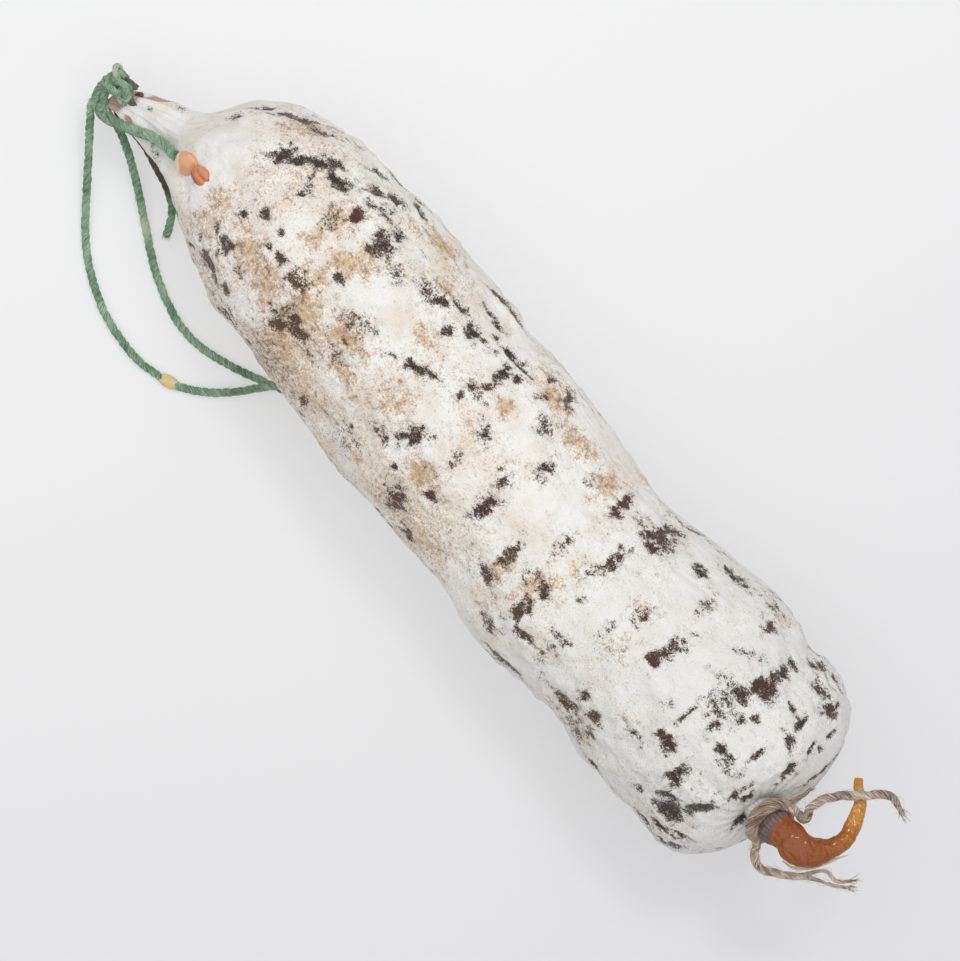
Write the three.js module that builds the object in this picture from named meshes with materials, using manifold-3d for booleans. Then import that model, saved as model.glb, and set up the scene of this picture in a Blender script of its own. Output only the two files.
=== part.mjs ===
// Cured sausage lying on its side: one filled and dried casing, hung by a green cotton string
// that is knotted on its neck, and tied off with jute twine at its other end.
// Millimetres. X runs from the neck to the tied end, Y across, Z up from the surface it lies on.

import * as THREE from "three";
import { mergeVertices } from "three/addons/utils/BufferGeometryUtils.js";
import Module from "manifold-3d";

const wasm = await Module();
wasm.setup();

// Driving dimensions
const BODY_RADIUS = 25;
const FLAT_DEPTH = 0.6; // the underside is pressed flat by this much
const STRING_DIAMETER = 2.0;
const COLLAR_DIAMETER = 2.5; // the strand on the neck has come loose and is thicker
const EAR_DIAMETER = 0.9 * STRING_DIAMETER;
const TWINE_DIAMETER = 2.2;
const SHORT_END_DIAMETER = 0.8 * TWINE_DIAMETER; // worn thin where it lies on the dome
const PLY_DIAMETER = 1.2; // one yarn of the twine where its end has come apart
const GAP = 0.35; // between pieces that touch

// How finely the solids are cut into faces
const SKIN_SIDES = 36;
const RING_STEP = 3.0;
const DOME_RINGS = 13;
const DOME_TIP = 0.6; // the last ring stops this part of a step before the tip
const STRAND_SIDES = 8;
const FINE_SIDES = 6; // on the knot's tight turns and on single yarns
const TURN_STEPS = 24;
const STRIDE = 0.75; // step along a short strand, in diameters
const LOOP_STRIDE = 1.3; // step along the free loop, in diameters

// The sausage at places along its length: radius, sideways place of its axis, and the height of
// its underside over the surface. The neck narrows, drops and turns aside into the knot.
const STATIONS = [
  { x: -119.0, radius: 2.0, y: -13.4, lift: 10.0 },
  { x: -116.0, radius: 3.3, y: -11.9, lift: 9.6 },
  { x: -113.0, radius: 4.4, y: -10.5, lift: 9.4 },
  { x: -109.0, radius: 5.4, y: -9.2, lift: 9.6 },
  { x: -104.7, radius: 6.6, y: -8.1, lift: 9.9 },
  { x: -101.6, radius: 8.4, y: -6.9, lift: 9.2 },
  { x: -99.4, radius: 11.0, y: -4.7, lift: 7.6 },
  { x: -95.3, radius: 14.4, y: -2.4, lift: 5.6 },
  { x: -85.0, radius: 19.4, y: -1.0, lift: 2.6 },
  { x: -70.0, radius: 23.6, y: -0.3, lift: 0.2 },
  { x: -50.0, radius: 0.99 * BODY_RADIUS, y: -0.9, lift: 0 },
  { x: -15.0, radius: BODY_RADIUS, y: -0.8, lift: 0 },
  { x: 24.0, radius: 0.99 * BODY_RADIUS, y: -1.7, lift: 0 },
  { x: 45.0, radius: 1.03 * BODY_RADIUS, y: 0.0, lift: 0 },
  { x: 60.0, radius: 1.08 * BODY_RADIUS, y: 1.2, lift: 0 },
  { x: 76.0, radius: 1.04 * BODY_RADIUS, y: 0.6, lift: 0 },
  { x: 93.0, radius: 1.02 * BODY_RADIUS, y: 0.2, lift: 0 },
];

// The tied end is a blunt dome
const DOME_START = 75.7;
const DOME_DEPTH = 17.2;
const DOME_POWER = 2.4;

// Swellings and dents left by lumps of meat and fat that dried unevenly
const LUMP_COUNT = 140;
const LUMP_START = -92;
const LUMP_END = 90;
const LUMP_HEIGHT = 0.95;
const LUMP_HEIGHT_CYCLE = 3.7; // turns swellings into dents from lump to lump
const LUMP_SPREAD = 4.6;
const LUMP_SPREAD_CYCLE = 5.1;
const LUMP_SPREAD_CHANGE = 0.3;
const GOLDEN_ANGLE = Math.PI * (3 - Math.sqrt(5));

// The casing is gathered into pleats where the neck runs into the knot
const PLEAT_COUNT = 7;
const PLEAT_SHARE = 0.11; // of the radius
const PLEAT_SWAY = 0.8; // makes the pleats uneven
const PLEAT_FROM = -86;
const PLEAT_FULL = -108;

// A furrow runs over the top and down the far side, ahead of the tied end
const FURROW_X = 69;
const FURROW_WIDTH = 3.2;
const FURROW_DEPTH = 1.3;
const FURROW_ANGLE = 0.15 * Math.PI;
const FURROW_REACH = 0.9;

// The twine draws the end in high on the dome, along an axis that points up and outwards
const TIE = new THREE.Vector3(90.4, -4, 43);
const TIE_ELEVATION = THREE.MathUtils.degToRad(40);
const TIE_AXIS = new THREE.Vector3(Math.cos(TIE_ELEVATION), 0, Math.sin(TIE_ELEVATION));
const TIE_DIMPLE_DEPTH = 3.4;
const TIE_DIMPLE_SPREAD = 6.5;
const TIE_DIMPLE_FADE = [-22, -12]; // along the tie's axis, so that only the dome is drawn in
const WAIST_RADIUS = 3.0;

// The empty casing past the tie has dried to a flat hook: places, half widths, half thicknesses
const HOOK = [
  { at: alongTie(-10), half: 6.0, thick: 6.0 },
  { at: alongTie(-5), half: 4.6, thick: 4.6 },
  { at: alongTie(0), half: WAIST_RADIUS, thick: WAIST_RADIUS },
  { at: alongTie(2.2), half: 3.9, thick: 3.4 },
  { at: [95.2, -3.3, 46.4], half: 3.5, thick: 2.4 },
  { at: [98.4, -3.3, 47.0], half: 3.7, thick: 2.0 },
  { at: [101.1, -1.3, 46.5], half: 3.2, thick: 1.8 },
  { at: [103.1, 2.4, 45.5], half: 2.1, thick: 1.6 },
  { at: [103.5, 5.8, 44.5], half: 2.0, thick: 1.5 },
  { at: [102.3, 9.3, 43.5], half: 1.8, thick: 1.3 },
  { at: [100.3, 12.7, 42.5], half: 1.4, thick: 1.1 },
  { at: [97.1, 15.0, 41.5], half: 1.1, thick: 0.9 },
  { at: [95.9, 16.2, 41.0], half: 0.9, thick: 0.6 },
];
const HOOK_STEPS = 34;
const HOOK_SIDES = 14;

// Two beads of fat that sweated out and set on the neck, seen from above
const FAT_BEADS = [
  { x: -95.6, y: -9.8, long: 2.9, wide: 2.6, tall: 1.5 },
  { x: -91.2, y: -9.3, long: 2.7, wide: 2.2, tall: 1.4 },
];
const BEAD_SINK = 0.4;
const BEAD_SIDES = 16;
const BEAD_RINGS = 10;

// The green string: a turn round the neck's tip, a tight overhand knot on it, a strand that goes
// round the tip and up the neck, a small bight, and the cut end beside the neck
const KNOT_CENTRE = [-119.8, -10.1, 17.2];
const KNOT_SCALE = [1.15, 0.85, 0.95];
const KNOT_ARCS = 6;
const KNOT_PLACES = 7; // in each arc
const KNOT_OVERLAP = 0.04; // of an arc's length, so that the arcs join
const KNOT_TILT = THREE.MathUtils.degToRad(-18);
const TURN_CENTRE = new THREE.Vector3(-116.9, -12.4, 12.9);
const TURN_RADIUS = 4.5;
const TURN_YAW = THREE.MathUtils.degToRad(24);
const COLLAR_BIGHT = [
  [-121.9, -10.9, 16.4],
  [-121.9, -13.6, 13.6],
  [-120.7, -15.9, 11.6],
  [-118.7, -17.0, 11.6],
  [-116.0, -16.9, 13.4],
];
const COLLAR_ON_NECK = [
  [-112.7, -15.5],
  [-109.4, -13.9],
  [-106.7, -12.3],
  [-104.1, -11.3],
  [-101.4, -10.8],
  [-99.0, -10.7],
];
const EAR = [
  [-120.4, -9.9, 18.0],
  [-121.9, -9.1, 18.6],
  [-122.9, -8.2, 17.8],
  [-122.3, -7.8, 16.6],
  [-120.6, -8.8, 16.2],
];
const CUT_END = [
  [-117.6, -14.2, 8.9],
  [-113.5, -14.9, 8.3],
  [-109.5, -14.6, 8.0],
  [-105.4, -14.9, 7.8],
  [-101.4, -15.8, 7.3],
  [-97.4, -16.6, 6.7],
  [-94.1, -17.7, 5.8],
  [-92.0, -19.2, 4.8],
  [-90.3, -21.3, 3.6],
  [-88.9, -23.6, 2.6],
];

// The string's free loop: off the knot, down to the surface, along it and under the sausage,
// where it turns back, and up to the knot again
const LOOP_ROUTE = [
  [-120.6, -17.9, 9.7],
  [-117.6, -20.9, 8.0],
  [-113.7, -24.7, 5.6],
  [-109.9, -28.4, 3.6],
  [-105.9, -32.2, 2.2],
  [-101.9, -35.9, 1.3],
  [-96.8, -39.6, 1.05],
  [-91.7, -42.2, 1.05],
  [-86.6, -44.2, 1.05],
  [-81.5, -45.3, 1.05],
  [-76.4, -45.8, 1.05],
  [-71.3, -45.6, 1.05],
  [-66.2, -44.3, 1.05],
  [-61.1, -42.0, 1.05],
  [-56.5, -38.1, 1.3],
  [-52.9, -33.5, 2.1],
  [-50.8, -29.9, 3.0],
  [-48.6, -26.4, 3.4],
  [-45.3, -21.3, 2.4],
  [-41.9, -16.6, 1.3],
  [-37.6, -14.4, 1.05],
  [-33.5, -15.6, 1.05],
  [-32.0, -18.8, 1.05],
  [-34.4, -21.4, 1.05],
  [-39.2, -22.4, 1.05],
  [-44.2, -24.2, 1.05],
  [-48.9, -26.6, 1.05],
  [-54.0, -29.1, 1.05],
  [-59.1, -31.3, 1.05],
  [-65.2, -33.3, 1.05],
  [-71.3, -33.8, 1.05],
  [-76.4, -33.0, 1.05],
  [-81.5, -31.5, 1.05],
  [-86.6, -29.4, 1.05],
  [-91.7, -26.7, 1.2],
  [-96.8, -23.9, 1.8],
  [-101.8, -21.2, 3.0],
  [-106.7, -18.8, 4.8],
  [-111.6, -16.9, 6.6],
  [-114.9, -16.3, 7.5],
];

// The jute twine: a turn round the waist, an upper and a lower end, and the lower end's loose yarns
const TWINE_UPPER_END = [
  [90.6, 0.4, 43.2],
  [92.2, 1.5, 45.0],
  [94.1, 1.5, 46.8],
  [94.7, 2.0, 47.3],
  [94.2, 3.1, 47.0],
  [93.6, 4.6, 46.6],
  [93.8, 6.6, 46.2],
  [94.8, 9.0, 45.9],
  [96.3, 11.4, 45.6],
  [98.2, 13.8, 45.4],
  [100.2, 16.4, 45.0],
  [102.0, 18.5, 44.6],
  [103.9, 19.0, 44.2],
  [106.8, 18.6, 43.6],
];
const TWINE_LOWER_END = [
  [91.2, -8.4, 42.2],
  [92.7, -9.5, 41.8],
  [93.8, -10.9, 41.7],
  [96.1, -12.1, 41.8],
  [98.5, -11.3, 42.0],
  [100.5, -9.7, 42.0],
  [102.5, -8.0, 42.0],
  [104.4, -5.9, 42.2],
];
const LOOSE_YARNS = [
  [[103.6, -6.8, 42.1], [106.4, -4.5, 42.4], [109.3, -2.8, 42.6], [112.3, -0.1, 42.8]],
  [[103.9, -6.5, 42.2], [105.2, -3.2, 42.6], [106.6, -1.6, 43.2], [109.3, -1.4, 43.2], [111.4, 1.1, 43.0]],
];
const TWINE_SHORT_END = [
  [90.2, 0.6, 42.6],
  [91.0, 3.0, 40.6],
  [92.2, 5.2, 39.2],
  [92.2, 7.2, 38.2],
];

// Looks of the plain solids
const MOULD = { color: 0xe6e3dc, roughness: 0.85, metalness: 0 };
const GREEN_COTTON = { color: 0x7a9f86, roughness: 0.9, metalness: 0 };
const JUTE = { color: 0xbfae93, roughness: 0.95, metalness: 0 };

// A place on the tie's axis, as a list of three numbers
function alongTie(distance) {
  return TIE.clone().addScaledVector(TIE_AXIS, distance).toArray();
}

// Smooth step from 0 at one value to 1 at another
function ease(value, from, to) {
  const share = Math.min(1, Math.max(0, (value - from) / (to - from)));
  return share * share * (3 - 2 * share);
}

// Shortest signed turn from one angle to another
function turn(from, to) {
  return Math.atan2(Math.sin(to - from), Math.cos(to - from));
}

// Cubic curve through a row of stations, in one of their values
function between(stations, x, key) {
  const last = stations.length - 1;
  let i = stations.findIndex((station) => station.x > x) - 1;
  if (x >= stations[last].x) i = last - 1;
  i = Math.max(0, i);
  const slope = (j) => {
    const before = stations[Math.max(0, j - 1)];
    const after = stations[Math.min(last, j + 1)];
    return (after[key] - before[key]) / (after.x - before.x);
  };
  const span = stations[i + 1].x - stations[i].x;
  const t = Math.min(1, Math.max(0, (x - stations[i].x) / span));
  const start = stations[i][key] * (2 * t ** 3 - 3 * t ** 2 + 1);
  const end = stations[i + 1][key] * (3 * t ** 2 - 2 * t ** 3);
  const leave = slope(i) * span * (t ** 3 - 2 * t ** 2 + t);
  const arrive = slope(i + 1) * span * (t ** 3 - t ** 2);
  return start + end + leave + arrive;
}

// The round cross-section at a place along the length, before any relief
function section(x) {
  const full = between(STATIONS, x, "radius");
  const share = Math.min(1, Math.max(0, (x - DOME_START) / DOME_DEPTH));
  const radius = full * (1 - share ** DOME_POWER) ** (1 / DOME_POWER);
  const height = full + between(STATIONS, x, "lift") - FLAT_DEPTH;
  return { full, radius, y: between(STATIONS, x, "y"), z: height };
}

// Lumps spread evenly over the skin by the golden angle, swellings and dents in turn
function makeLumps() {
  const lumps = [];
  for (let i = 0; i < LUMP_COUNT; i += 1) {
    lumps.push({
      x: LUMP_START + ((i + 0.5) * (LUMP_END - LUMP_START)) / LUMP_COUNT,
      angle: i * GOLDEN_ANGLE,
      height: LUMP_HEIGHT * Math.cos(LUMP_HEIGHT_CYCLE * i),
      spread: LUMP_SPREAD * (1 + LUMP_SPREAD_CHANGE * Math.sin(LUMP_SPREAD_CYCLE * i)),
    });
  }
  return lumps;
}

const LUMPS = makeLumps();

function lumpRelief(x, angle) {
  let height = 0;
  for (const lump of LUMPS) {
    const along = x - lump.x;
    const around = BODY_RADIUS * turn(lump.angle, angle);
    const distance = (along * along + around * around) / (2 * lump.spread * lump.spread);
    height += lump.height * Math.exp(-distance);
  }
  return height;
}

function furrowRelief(x, angle) {
  const around = turn(FURROW_ANGLE, angle) / FURROW_REACH;
  const along = (x - FURROW_X) / FURROW_WIDTH;
  return -FURROW_DEPTH * Math.exp(-along * along - around * around);
}

// Ridges with sharp valleys between them, as a share of the radius
function pleatShare(x, angle) {
  const strength = ease(x, PLEAT_FROM, PLEAT_FULL);
  const ridge = 1 - 2 * Math.abs(Math.sin((PLEAT_COUNT * angle) / 2 + PLEAT_SWAY * Math.sin(angle)));
  return PLEAT_SHARE * strength * ridge;
}

// The twine draws the skin inwards around its axis
function drawIn(point) {
  const offset = point.clone().sub(TIE);
  const depth = offset.dot(TIE_AXIS);
  const away = offset.lengthSq() - depth * depth;
  const pull = TIE_DIMPLE_DEPTH * Math.exp(-away / (2 * TIE_DIMPLE_SPREAD ** 2));
  return point.addScaledVector(TIE_AXIS, -pull * ease(depth, ...TIE_DIMPLE_FADE));
}

function skinPoint(x, angle, out) {
  const { full, radius, y, z } = section(x);
  const shape = (radius / full) * (lumpRelief(x, angle) + furrowRelief(x, angle));
  const reach = Math.max(0, radius * (1 + pleatShare(x, angle)) + shape) + out;
  const point = new THREE.Vector3(x, y + reach * Math.cos(angle), z + reach * Math.sin(angle));
  drawIn(point);
  point.z = Math.max(point.z, -out);
  return point;
}

// Joins rings of points side by side and closes each end with a fan
function skin(rings) {
  const sides = rings[0].length;
  const points = rings.flat();
  const faces = [];
  for (let ring = 0; ring + 1 < rings.length; ring += 1) {
    const here = ring * sides;
    const there = here + sides;
    for (let side = 0; side < sides; side += 1) {
      const next = (side + 1) % sides;
      faces.push(here + side, here + next, there + next);
      faces.push(here + side, there + next, there + side);
    }
  }
  const middle = (ring) => {
    const sum = ring.reduce((total, point) => total.add(point), new THREE.Vector3());
    return sum.divideScalar(sides);
  };
  const first = points.push(middle(rings[0])) - 1;
  const last = points.push(middle(rings[rings.length - 1])) - 1;
  const end = (rings.length - 1) * sides;
  for (let side = 0; side < sides; side += 1) {
    const next = (side + 1) % sides;
    faces.push(first, next, side);
    faces.push(last, end + side, end + next);
  }
  const geometry = new THREE.BufferGeometry().setFromPoints(points);
  geometry.setIndex(faces);
  return geometry;
}

// Places of the rings: even steps along the body, then closer and closer over the dome
function ringPlaces() {
  const places = [];
  const start = STATIONS[0].x;
  const count = Math.round((DOME_START - start) / RING_STEP);
  for (let i = 0; i < count; i += 1) {
    places.push(start + ((DOME_START - start) * i) / count);
  }
  for (let i = 0; i < DOME_RINGS; i += 1) {
    const share = Math.sin(((i / (DOME_RINGS - DOME_TIP)) * Math.PI) / 2);
    places.push(DOME_START + DOME_DEPTH * share);
  }
  return places;
}

function bodyGeometry(out) {
  const rings = ringPlaces().map((x) => {
    const ring = [];
    for (let side = 0; side < SKIN_SIDES; side += 1) {
      ring.push(skinPoint(x, (2 * Math.PI * side) / SKIN_SIDES, out));
    }
    return ring;
  });
  return skin(rings);
}

// Smooth curve through a row of places
function smoothPath(places) {
  const points = places.map((place) => new THREE.Vector3(...place));
  return new THREE.CatmullRomCurve3(points, false, "catmullrom", 0.5);
}

// Flat hook of dried casing: ellipses set square to its path
function hookGeometry(out) {
  const path = smoothPath(HOOK.map((place) => place.at));
  const up = new THREE.Vector3(0, 0, 1);
  const rings = [];
  for (let step = 0; step <= HOOK_STEPS; step += 1) {
    const t = step / HOOK_STEPS;
    const place = t * (HOOK.length - 1);
    const i = Math.min(HOOK.length - 2, Math.floor(place));
    const blend = ease(place - i, 0, 1);
    const half = THREE.MathUtils.lerp(HOOK[i].half, HOOK[i + 1].half, blend) + out;
    const thick = THREE.MathUtils.lerp(HOOK[i].thick, HOOK[i + 1].thick, blend) + out;
    const centre = path.getPoint(t);
    const forward = path.getTangent(t);
    const across = new THREE.Vector3().crossVectors(up, forward).normalize();
    const over = new THREE.Vector3().crossVectors(forward, across);
    const ring = [];
    for (let side = 0; side < HOOK_SIDES; side += 1) {
      const angle = (2 * Math.PI * side) / HOOK_SIDES;
      const point = centre.clone().addScaledVector(across, half * Math.cos(angle));
      ring.push(point.addScaledVector(over, thick * Math.sin(angle)));
    }
    rings.push(ring);
  }
  return skin(rings);
}

// Place over the upper side at a given x and y, a distance out from the plain round section
function overSkin(x, y, out) {
  const { radius, y: axis, z } = section(x);
  const reach = radius * (1 + PLEAT_SHARE * ease(x, PLEAT_FROM, PLEAT_FULL)) + out;
  const angle = Math.acos(THREE.MathUtils.clamp((y - axis) / reach, -1, 1));
  return { point: [x, axis + reach * Math.cos(angle), z + reach * Math.sin(angle)], angle };
}

function beadGeometry({ x, y, long, wide, tall }, out) {
  const { point, angle } = overSkin(x, y, -BEAD_SINK);
  const bead = new THREE.SphereGeometry(1, BEAD_SIDES, BEAD_RINGS);
  bead.scale(long + out, wide + out, tall + out);
  bead.rotateX(angle - Math.PI / 2);
  bead.translate(...point);
  return bead;
}

// Round strand along a row of places, cut off square at both ends
function strand(places, diameter, sides = STRAND_SIDES, stride = STRIDE) {
  const path = smoothPath(places);
  const steps = Math.round(path.getLength() / (stride * diameter));
  const outline = new THREE.Shape();
  for (let side = 0; side < sides; side += 1) {
    const angle = (2 * Math.PI * side) / sides;
    const corner = [(diameter / 2) * Math.cos(angle), (diameter / 2) * Math.sin(angle)];
    if (side === 0) outline.moveTo(...corner);
    else outline.lineTo(...corner);
  }
  return new THREE.ExtrudeGeometry(outline, { steps, extrudePath: path, bevelEnabled: false });
}

// The overhand knot's closed curve, a trefoil
function knotPlace(t) {
  const reach = 2 + Math.cos(3 * t);
  const place = new THREE.Vector3(
    KNOT_SCALE[0] * reach * Math.cos(2 * t),
    KNOT_SCALE[1] * reach * Math.sin(2 * t),
    KNOT_SCALE[2] * Math.sin(3 * t));
  place.applyAxisAngle(new THREE.Vector3(0, 0, 1), KNOT_TILT);
  return place.add(new THREE.Vector3(...KNOT_CENTRE)).toArray();
}

function knotArcs() {
  const arcs = [];
  const length = (2 * Math.PI) / KNOT_ARCS;
  const overlap = KNOT_OVERLAP * length;
  for (let arc = 0; arc < KNOT_ARCS; arc += 1) {
    const places = [];
    for (let i = 0; i <= KNOT_PLACES; i += 1) {
      places.push(knotPlace(arc * length - overlap + ((length + 2 * overlap) * i) / KNOT_PLACES));
    }
    arcs.push(strand(places, STRING_DIAMETER, FINE_SIDES));
  }
  return arcs;
}

// A closed turn of strand around an axis through its centre
function turnAround(centre, axis, radius, diameter) {
  const ring = new THREE.TorusGeometry(radius, diameter / 2, STRAND_SIDES, TURN_STEPS);
  const facing = new THREE.Quaternion().setFromUnitVectors(new THREE.Vector3(0, 0, 1), axis);
  ring.applyQuaternion(facing);
  ring.translate(centre.x, centre.y, centre.z);
  return ring;
}

// Between a three.js geometry and a solid that can be joined and cut
function solid(geometry) {
  const bare = geometry.clone();
  bare.deleteAttribute("normal");
  bare.deleteAttribute("uv");
  const merged = mergeVertices(bare, 1e-4);
  const vertProperties = new Float32Array(merged.attributes.position.array);
  const triVerts = new Uint32Array(merged.index.array);
  return new wasm.Manifold(new wasm.Mesh({ numProp: 3, vertProperties, triVerts }));
}

function joined(geometries) {
  return geometries.map(solid).reduce((whole, piece) => whole.add(piece));
}

function named(name, form, look) {
  const mesh = form.getMesh();
  const geometry = new THREE.BufferGeometry();
  geometry.setAttribute("position", new THREE.BufferAttribute(mesh.vertProperties, 3));
  geometry.setIndex(new THREE.BufferAttribute(mesh.triVerts, 1));
  geometry.computeVertexNormals();
  const piece = new THREE.Mesh(geometry, new THREE.MeshStandardMaterial(look));
  piece.name = name;
  return piece;
}

// The filled casing with its dried hook and fat beads, grown outwards by a distance
function sausageForm(out) {
  const beads = FAT_BEADS.map((bead) => beadGeometry(bead, out));
  return joined([bodyGeometry(out), hookGeometry(out), ...beads]);
}

function stringKnotForm() {
  const lift = GAP + COLLAR_DIAMETER / 2;
  const onNeck = COLLAR_ON_NECK.map(([x, y]) => overSkin(x, y, lift).point);
  const facing = new THREE.Vector3(Math.cos(TURN_YAW), -Math.sin(TURN_YAW), 0);
  return joined([
    turnAround(TURN_CENTRE, facing, TURN_RADIUS, STRING_DIAMETER),
    ...knotArcs(),
    strand([...COLLAR_BIGHT, ...onNeck], COLLAR_DIAMETER),
    strand(EAR, EAR_DIAMETER, FINE_SIDES),
    strand(CUT_END, STRING_DIAMETER),
  ]);
}

function hangingStringForm() {
  return solid(strand(LOOP_ROUTE, STRING_DIAMETER, STRAND_SIDES, LOOP_STRIDE));
}

function twineTieForm() {
  const radius = WAIST_RADIUS + GAP + TWINE_DIAMETER / 2;
  return joined([
    turnAround(TIE, TIE_AXIS, radius, TWINE_DIAMETER),
    strand(TWINE_UPPER_END, TWINE_DIAMETER),
    strand(TWINE_LOWER_END, TWINE_DIAMETER),
    strand(TWINE_SHORT_END, SHORT_END_DIAMETER),
    ...LOOSE_YARNS.map((yarn) => strand(yarn, PLY_DIAMETER, FINE_SIDES)),
  ]);
}

const clearance = sausageForm(GAP);
const sausage = new THREE.Group();
sausage.name = "cured_sausage";
sausage.add(
  named("sausage", sausageForm(0), MOULD),
  named("string_knot", stringKnotForm().subtract(clearance), GREEN_COTTON),
  named("hanging_string", hangingStringForm(), GREEN_COTTON),
  named("twine_tie", twineTieForm().subtract(clearance), JUTE),
);

export default sausage;
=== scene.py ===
"""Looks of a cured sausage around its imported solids: mould-covered casing, green string, jute tie."""

import math

import bpy
import numpy as np
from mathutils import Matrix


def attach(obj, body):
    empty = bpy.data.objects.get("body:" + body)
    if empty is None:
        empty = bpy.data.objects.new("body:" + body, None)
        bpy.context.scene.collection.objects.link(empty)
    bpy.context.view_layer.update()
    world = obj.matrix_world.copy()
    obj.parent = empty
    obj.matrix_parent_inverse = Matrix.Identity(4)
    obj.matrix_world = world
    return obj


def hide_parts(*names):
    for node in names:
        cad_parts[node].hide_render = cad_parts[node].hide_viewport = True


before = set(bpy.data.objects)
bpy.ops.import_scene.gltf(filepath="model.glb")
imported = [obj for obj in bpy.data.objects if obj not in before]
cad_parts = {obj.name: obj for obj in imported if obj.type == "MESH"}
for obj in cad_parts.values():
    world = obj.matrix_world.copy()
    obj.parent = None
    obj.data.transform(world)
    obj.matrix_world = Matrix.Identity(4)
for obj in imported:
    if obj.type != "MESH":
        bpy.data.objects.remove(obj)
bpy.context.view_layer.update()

bl_info = {
    "name": "Cured sausage",
    "version": (1, 0, 0),
    "blender": (4, 5, 0),
    "location": "3D View > Sidebar > Sausage",
    "description": "Builds a mould-covered dry sausage with its hanging string and its twine tie",
    "category": "Add Mesh",
}

# Sizes and places are in mm, in the frame of the solids
MM = 0.001
BODY = "root"
UP = np.array((0.0, 0.0, 1.0))
BLACK = (0.0, 0.0, 0.0, 1.0)
WHITE = (1.0, 1.0, 1.0, 1.0)

# The camera looks straight down, turned so that the sausage lies as in the photograph
CAMERA_AXIS = (-3.94, -5.07)
CAMERA_TURN = 50.2
CAMERA_DISTANCE = 1200.0  # above the plane in which the picture's width is measured
PICTURE_PLANE = 25.0
PICTURE_WIDTH = 206.0
SENSOR_WIDTH = 36.0

# The floor and the light
FLOOR_SIZE = 4000.0
FLOOR_SLOPE = (0.95, -0.33, 0.0)  # the way in which the painted falloff darkens the floor
FLOOR_FADE = 160.0  # from the middle to where the painted falloff is darkest
FLOOR_PAINTED_GLOW = 0.5  # share of the floor's light that is painted glow: the floor emits it, which weakens its shadows
MOTTLE_SIZE = 40.0
MOTTLE_SHIFT = 10.0  # how far the mottle moves the edge of the painted falloff
KEY_PLACE = np.array((-160.0, 420.0, 1000.0))
KEY_TARGET = np.array((0.0, 0.0, 20.0))
HORIZON = 0.14  # brightness of the low sky, as a share of that overhead
SKY_RISE = 0.4  # height in the sky, from 0 to 1, from which it brightens

# Spread of the whole numbers from which smooth noise draws its values
HASH_STEPS = (73856093, 19349663, 83492791)
HASH_SEED = 2654435761
HASH_ROUNDS = ((13, 1274126177), (16, 2246822519))
HASH_LIMIT = 0xFFFFFFFF
HASH_KEPT = 0xFFFF

# The sausage at places along its length: x, radius, sideways place, height of its underside
BODY_RADIUS = 25.0
FLAT_DEPTH = 0.6
STATIONS = np.array([
    (-119.0, 2.0, -13.4, 10.0),
    (-116.0, 3.3, -11.9, 9.6),
    (-113.0, 4.4, -10.5, 9.4),
    (-109.0, 5.4, -9.2, 9.6),
    (-104.7, 6.6, -8.1, 9.9),
    (-101.6, 8.4, -6.9, 9.2),
    (-99.4, 11.0, -4.7, 7.6),
    (-95.3, 14.4, -2.4, 5.6),
    (-85.0, 19.4, -1.0, 2.6),
    (-70.0, 23.6, -0.3, 0.2),
    (-50.0, 0.99 * BODY_RADIUS, -0.9, 0.0),
    (-15.0, BODY_RADIUS, -0.8, 0.0),
    (24.0, 0.99 * BODY_RADIUS, -1.7, 0.0),
    (45.0, 1.03 * BODY_RADIUS, 0.0, 0.0),
    (60.0, 1.08 * BODY_RADIUS, 1.2, 0.0),
    (76.0, 1.04 * BODY_RADIUS, 0.6, 0.0),
    (93.0, 1.02 * BODY_RADIUS, 0.2, 0.0),
])
DOME_START = 75.7
DOME_DEPTH = 17.2
DOME_POWER = 2.4
DOME_TIP = 0.99999  # share of the dome's depth at its last ring
BODY_RINGS = 330
DOME_RINGS = 66
SKIN_SIDES = 248

# Lumps, neck pleats, furrow and drawn-in end, as in the solids
LUMP_COUNT = 140
LUMP_RANGE = (-92.0, 90.0)
LUMP_HEIGHT = 0.95
LUMP_HEIGHT_CYCLE = 3.7
LUMP_SPREAD = 4.6
LUMP_SPREAD_CYCLE = 5.1
LUMP_SPREAD_CHANGE = 0.3
GOLDEN_ANGLE = math.pi * (3 - math.sqrt(5))
PLEAT_COUNT = 7
PLEAT_SHARE = 0.11
PLEAT_SWAY = 0.8
PLEAT_FROM = -86.0
PLEAT_FULL = -108.0
FINE_PLEATS = 19
FINE_PLEAT_SHARE = 0.022
FINE_PLEAT_DRIFT = 9.0  # length in which they shift by one radian
FURROW_X = 69.0
FURROW_WIDTH = 3.2
FURROW_DEPTH = 1.3
FURROW_ANGLE = 0.15 * math.pi
FURROW_REACH = 0.9
TIE = np.array((90.4, -4.0, 43.0))
TIE_ELEVATION = math.radians(40)
TIE_AXIS = np.array((math.cos(TIE_ELEVATION), 0.0, math.sin(TIE_ELEVATION)))
TIE_DIMPLE_DEPTH = 3.4
TIE_DIMPLE_SPREAD = 6.5
TIE_DIMPLE_FADE = (-22.0, -12.0)
GATHER_COUNT = 22  # small folds that run into the tie
GATHER_HEIGHT = 0.3
GATHER_INNER = (1.0, 4.0)  # distances from the tie's axis over which the folds rise
GATHER_OUTER = (13.0, 5.0)  # and over which they die out

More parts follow.
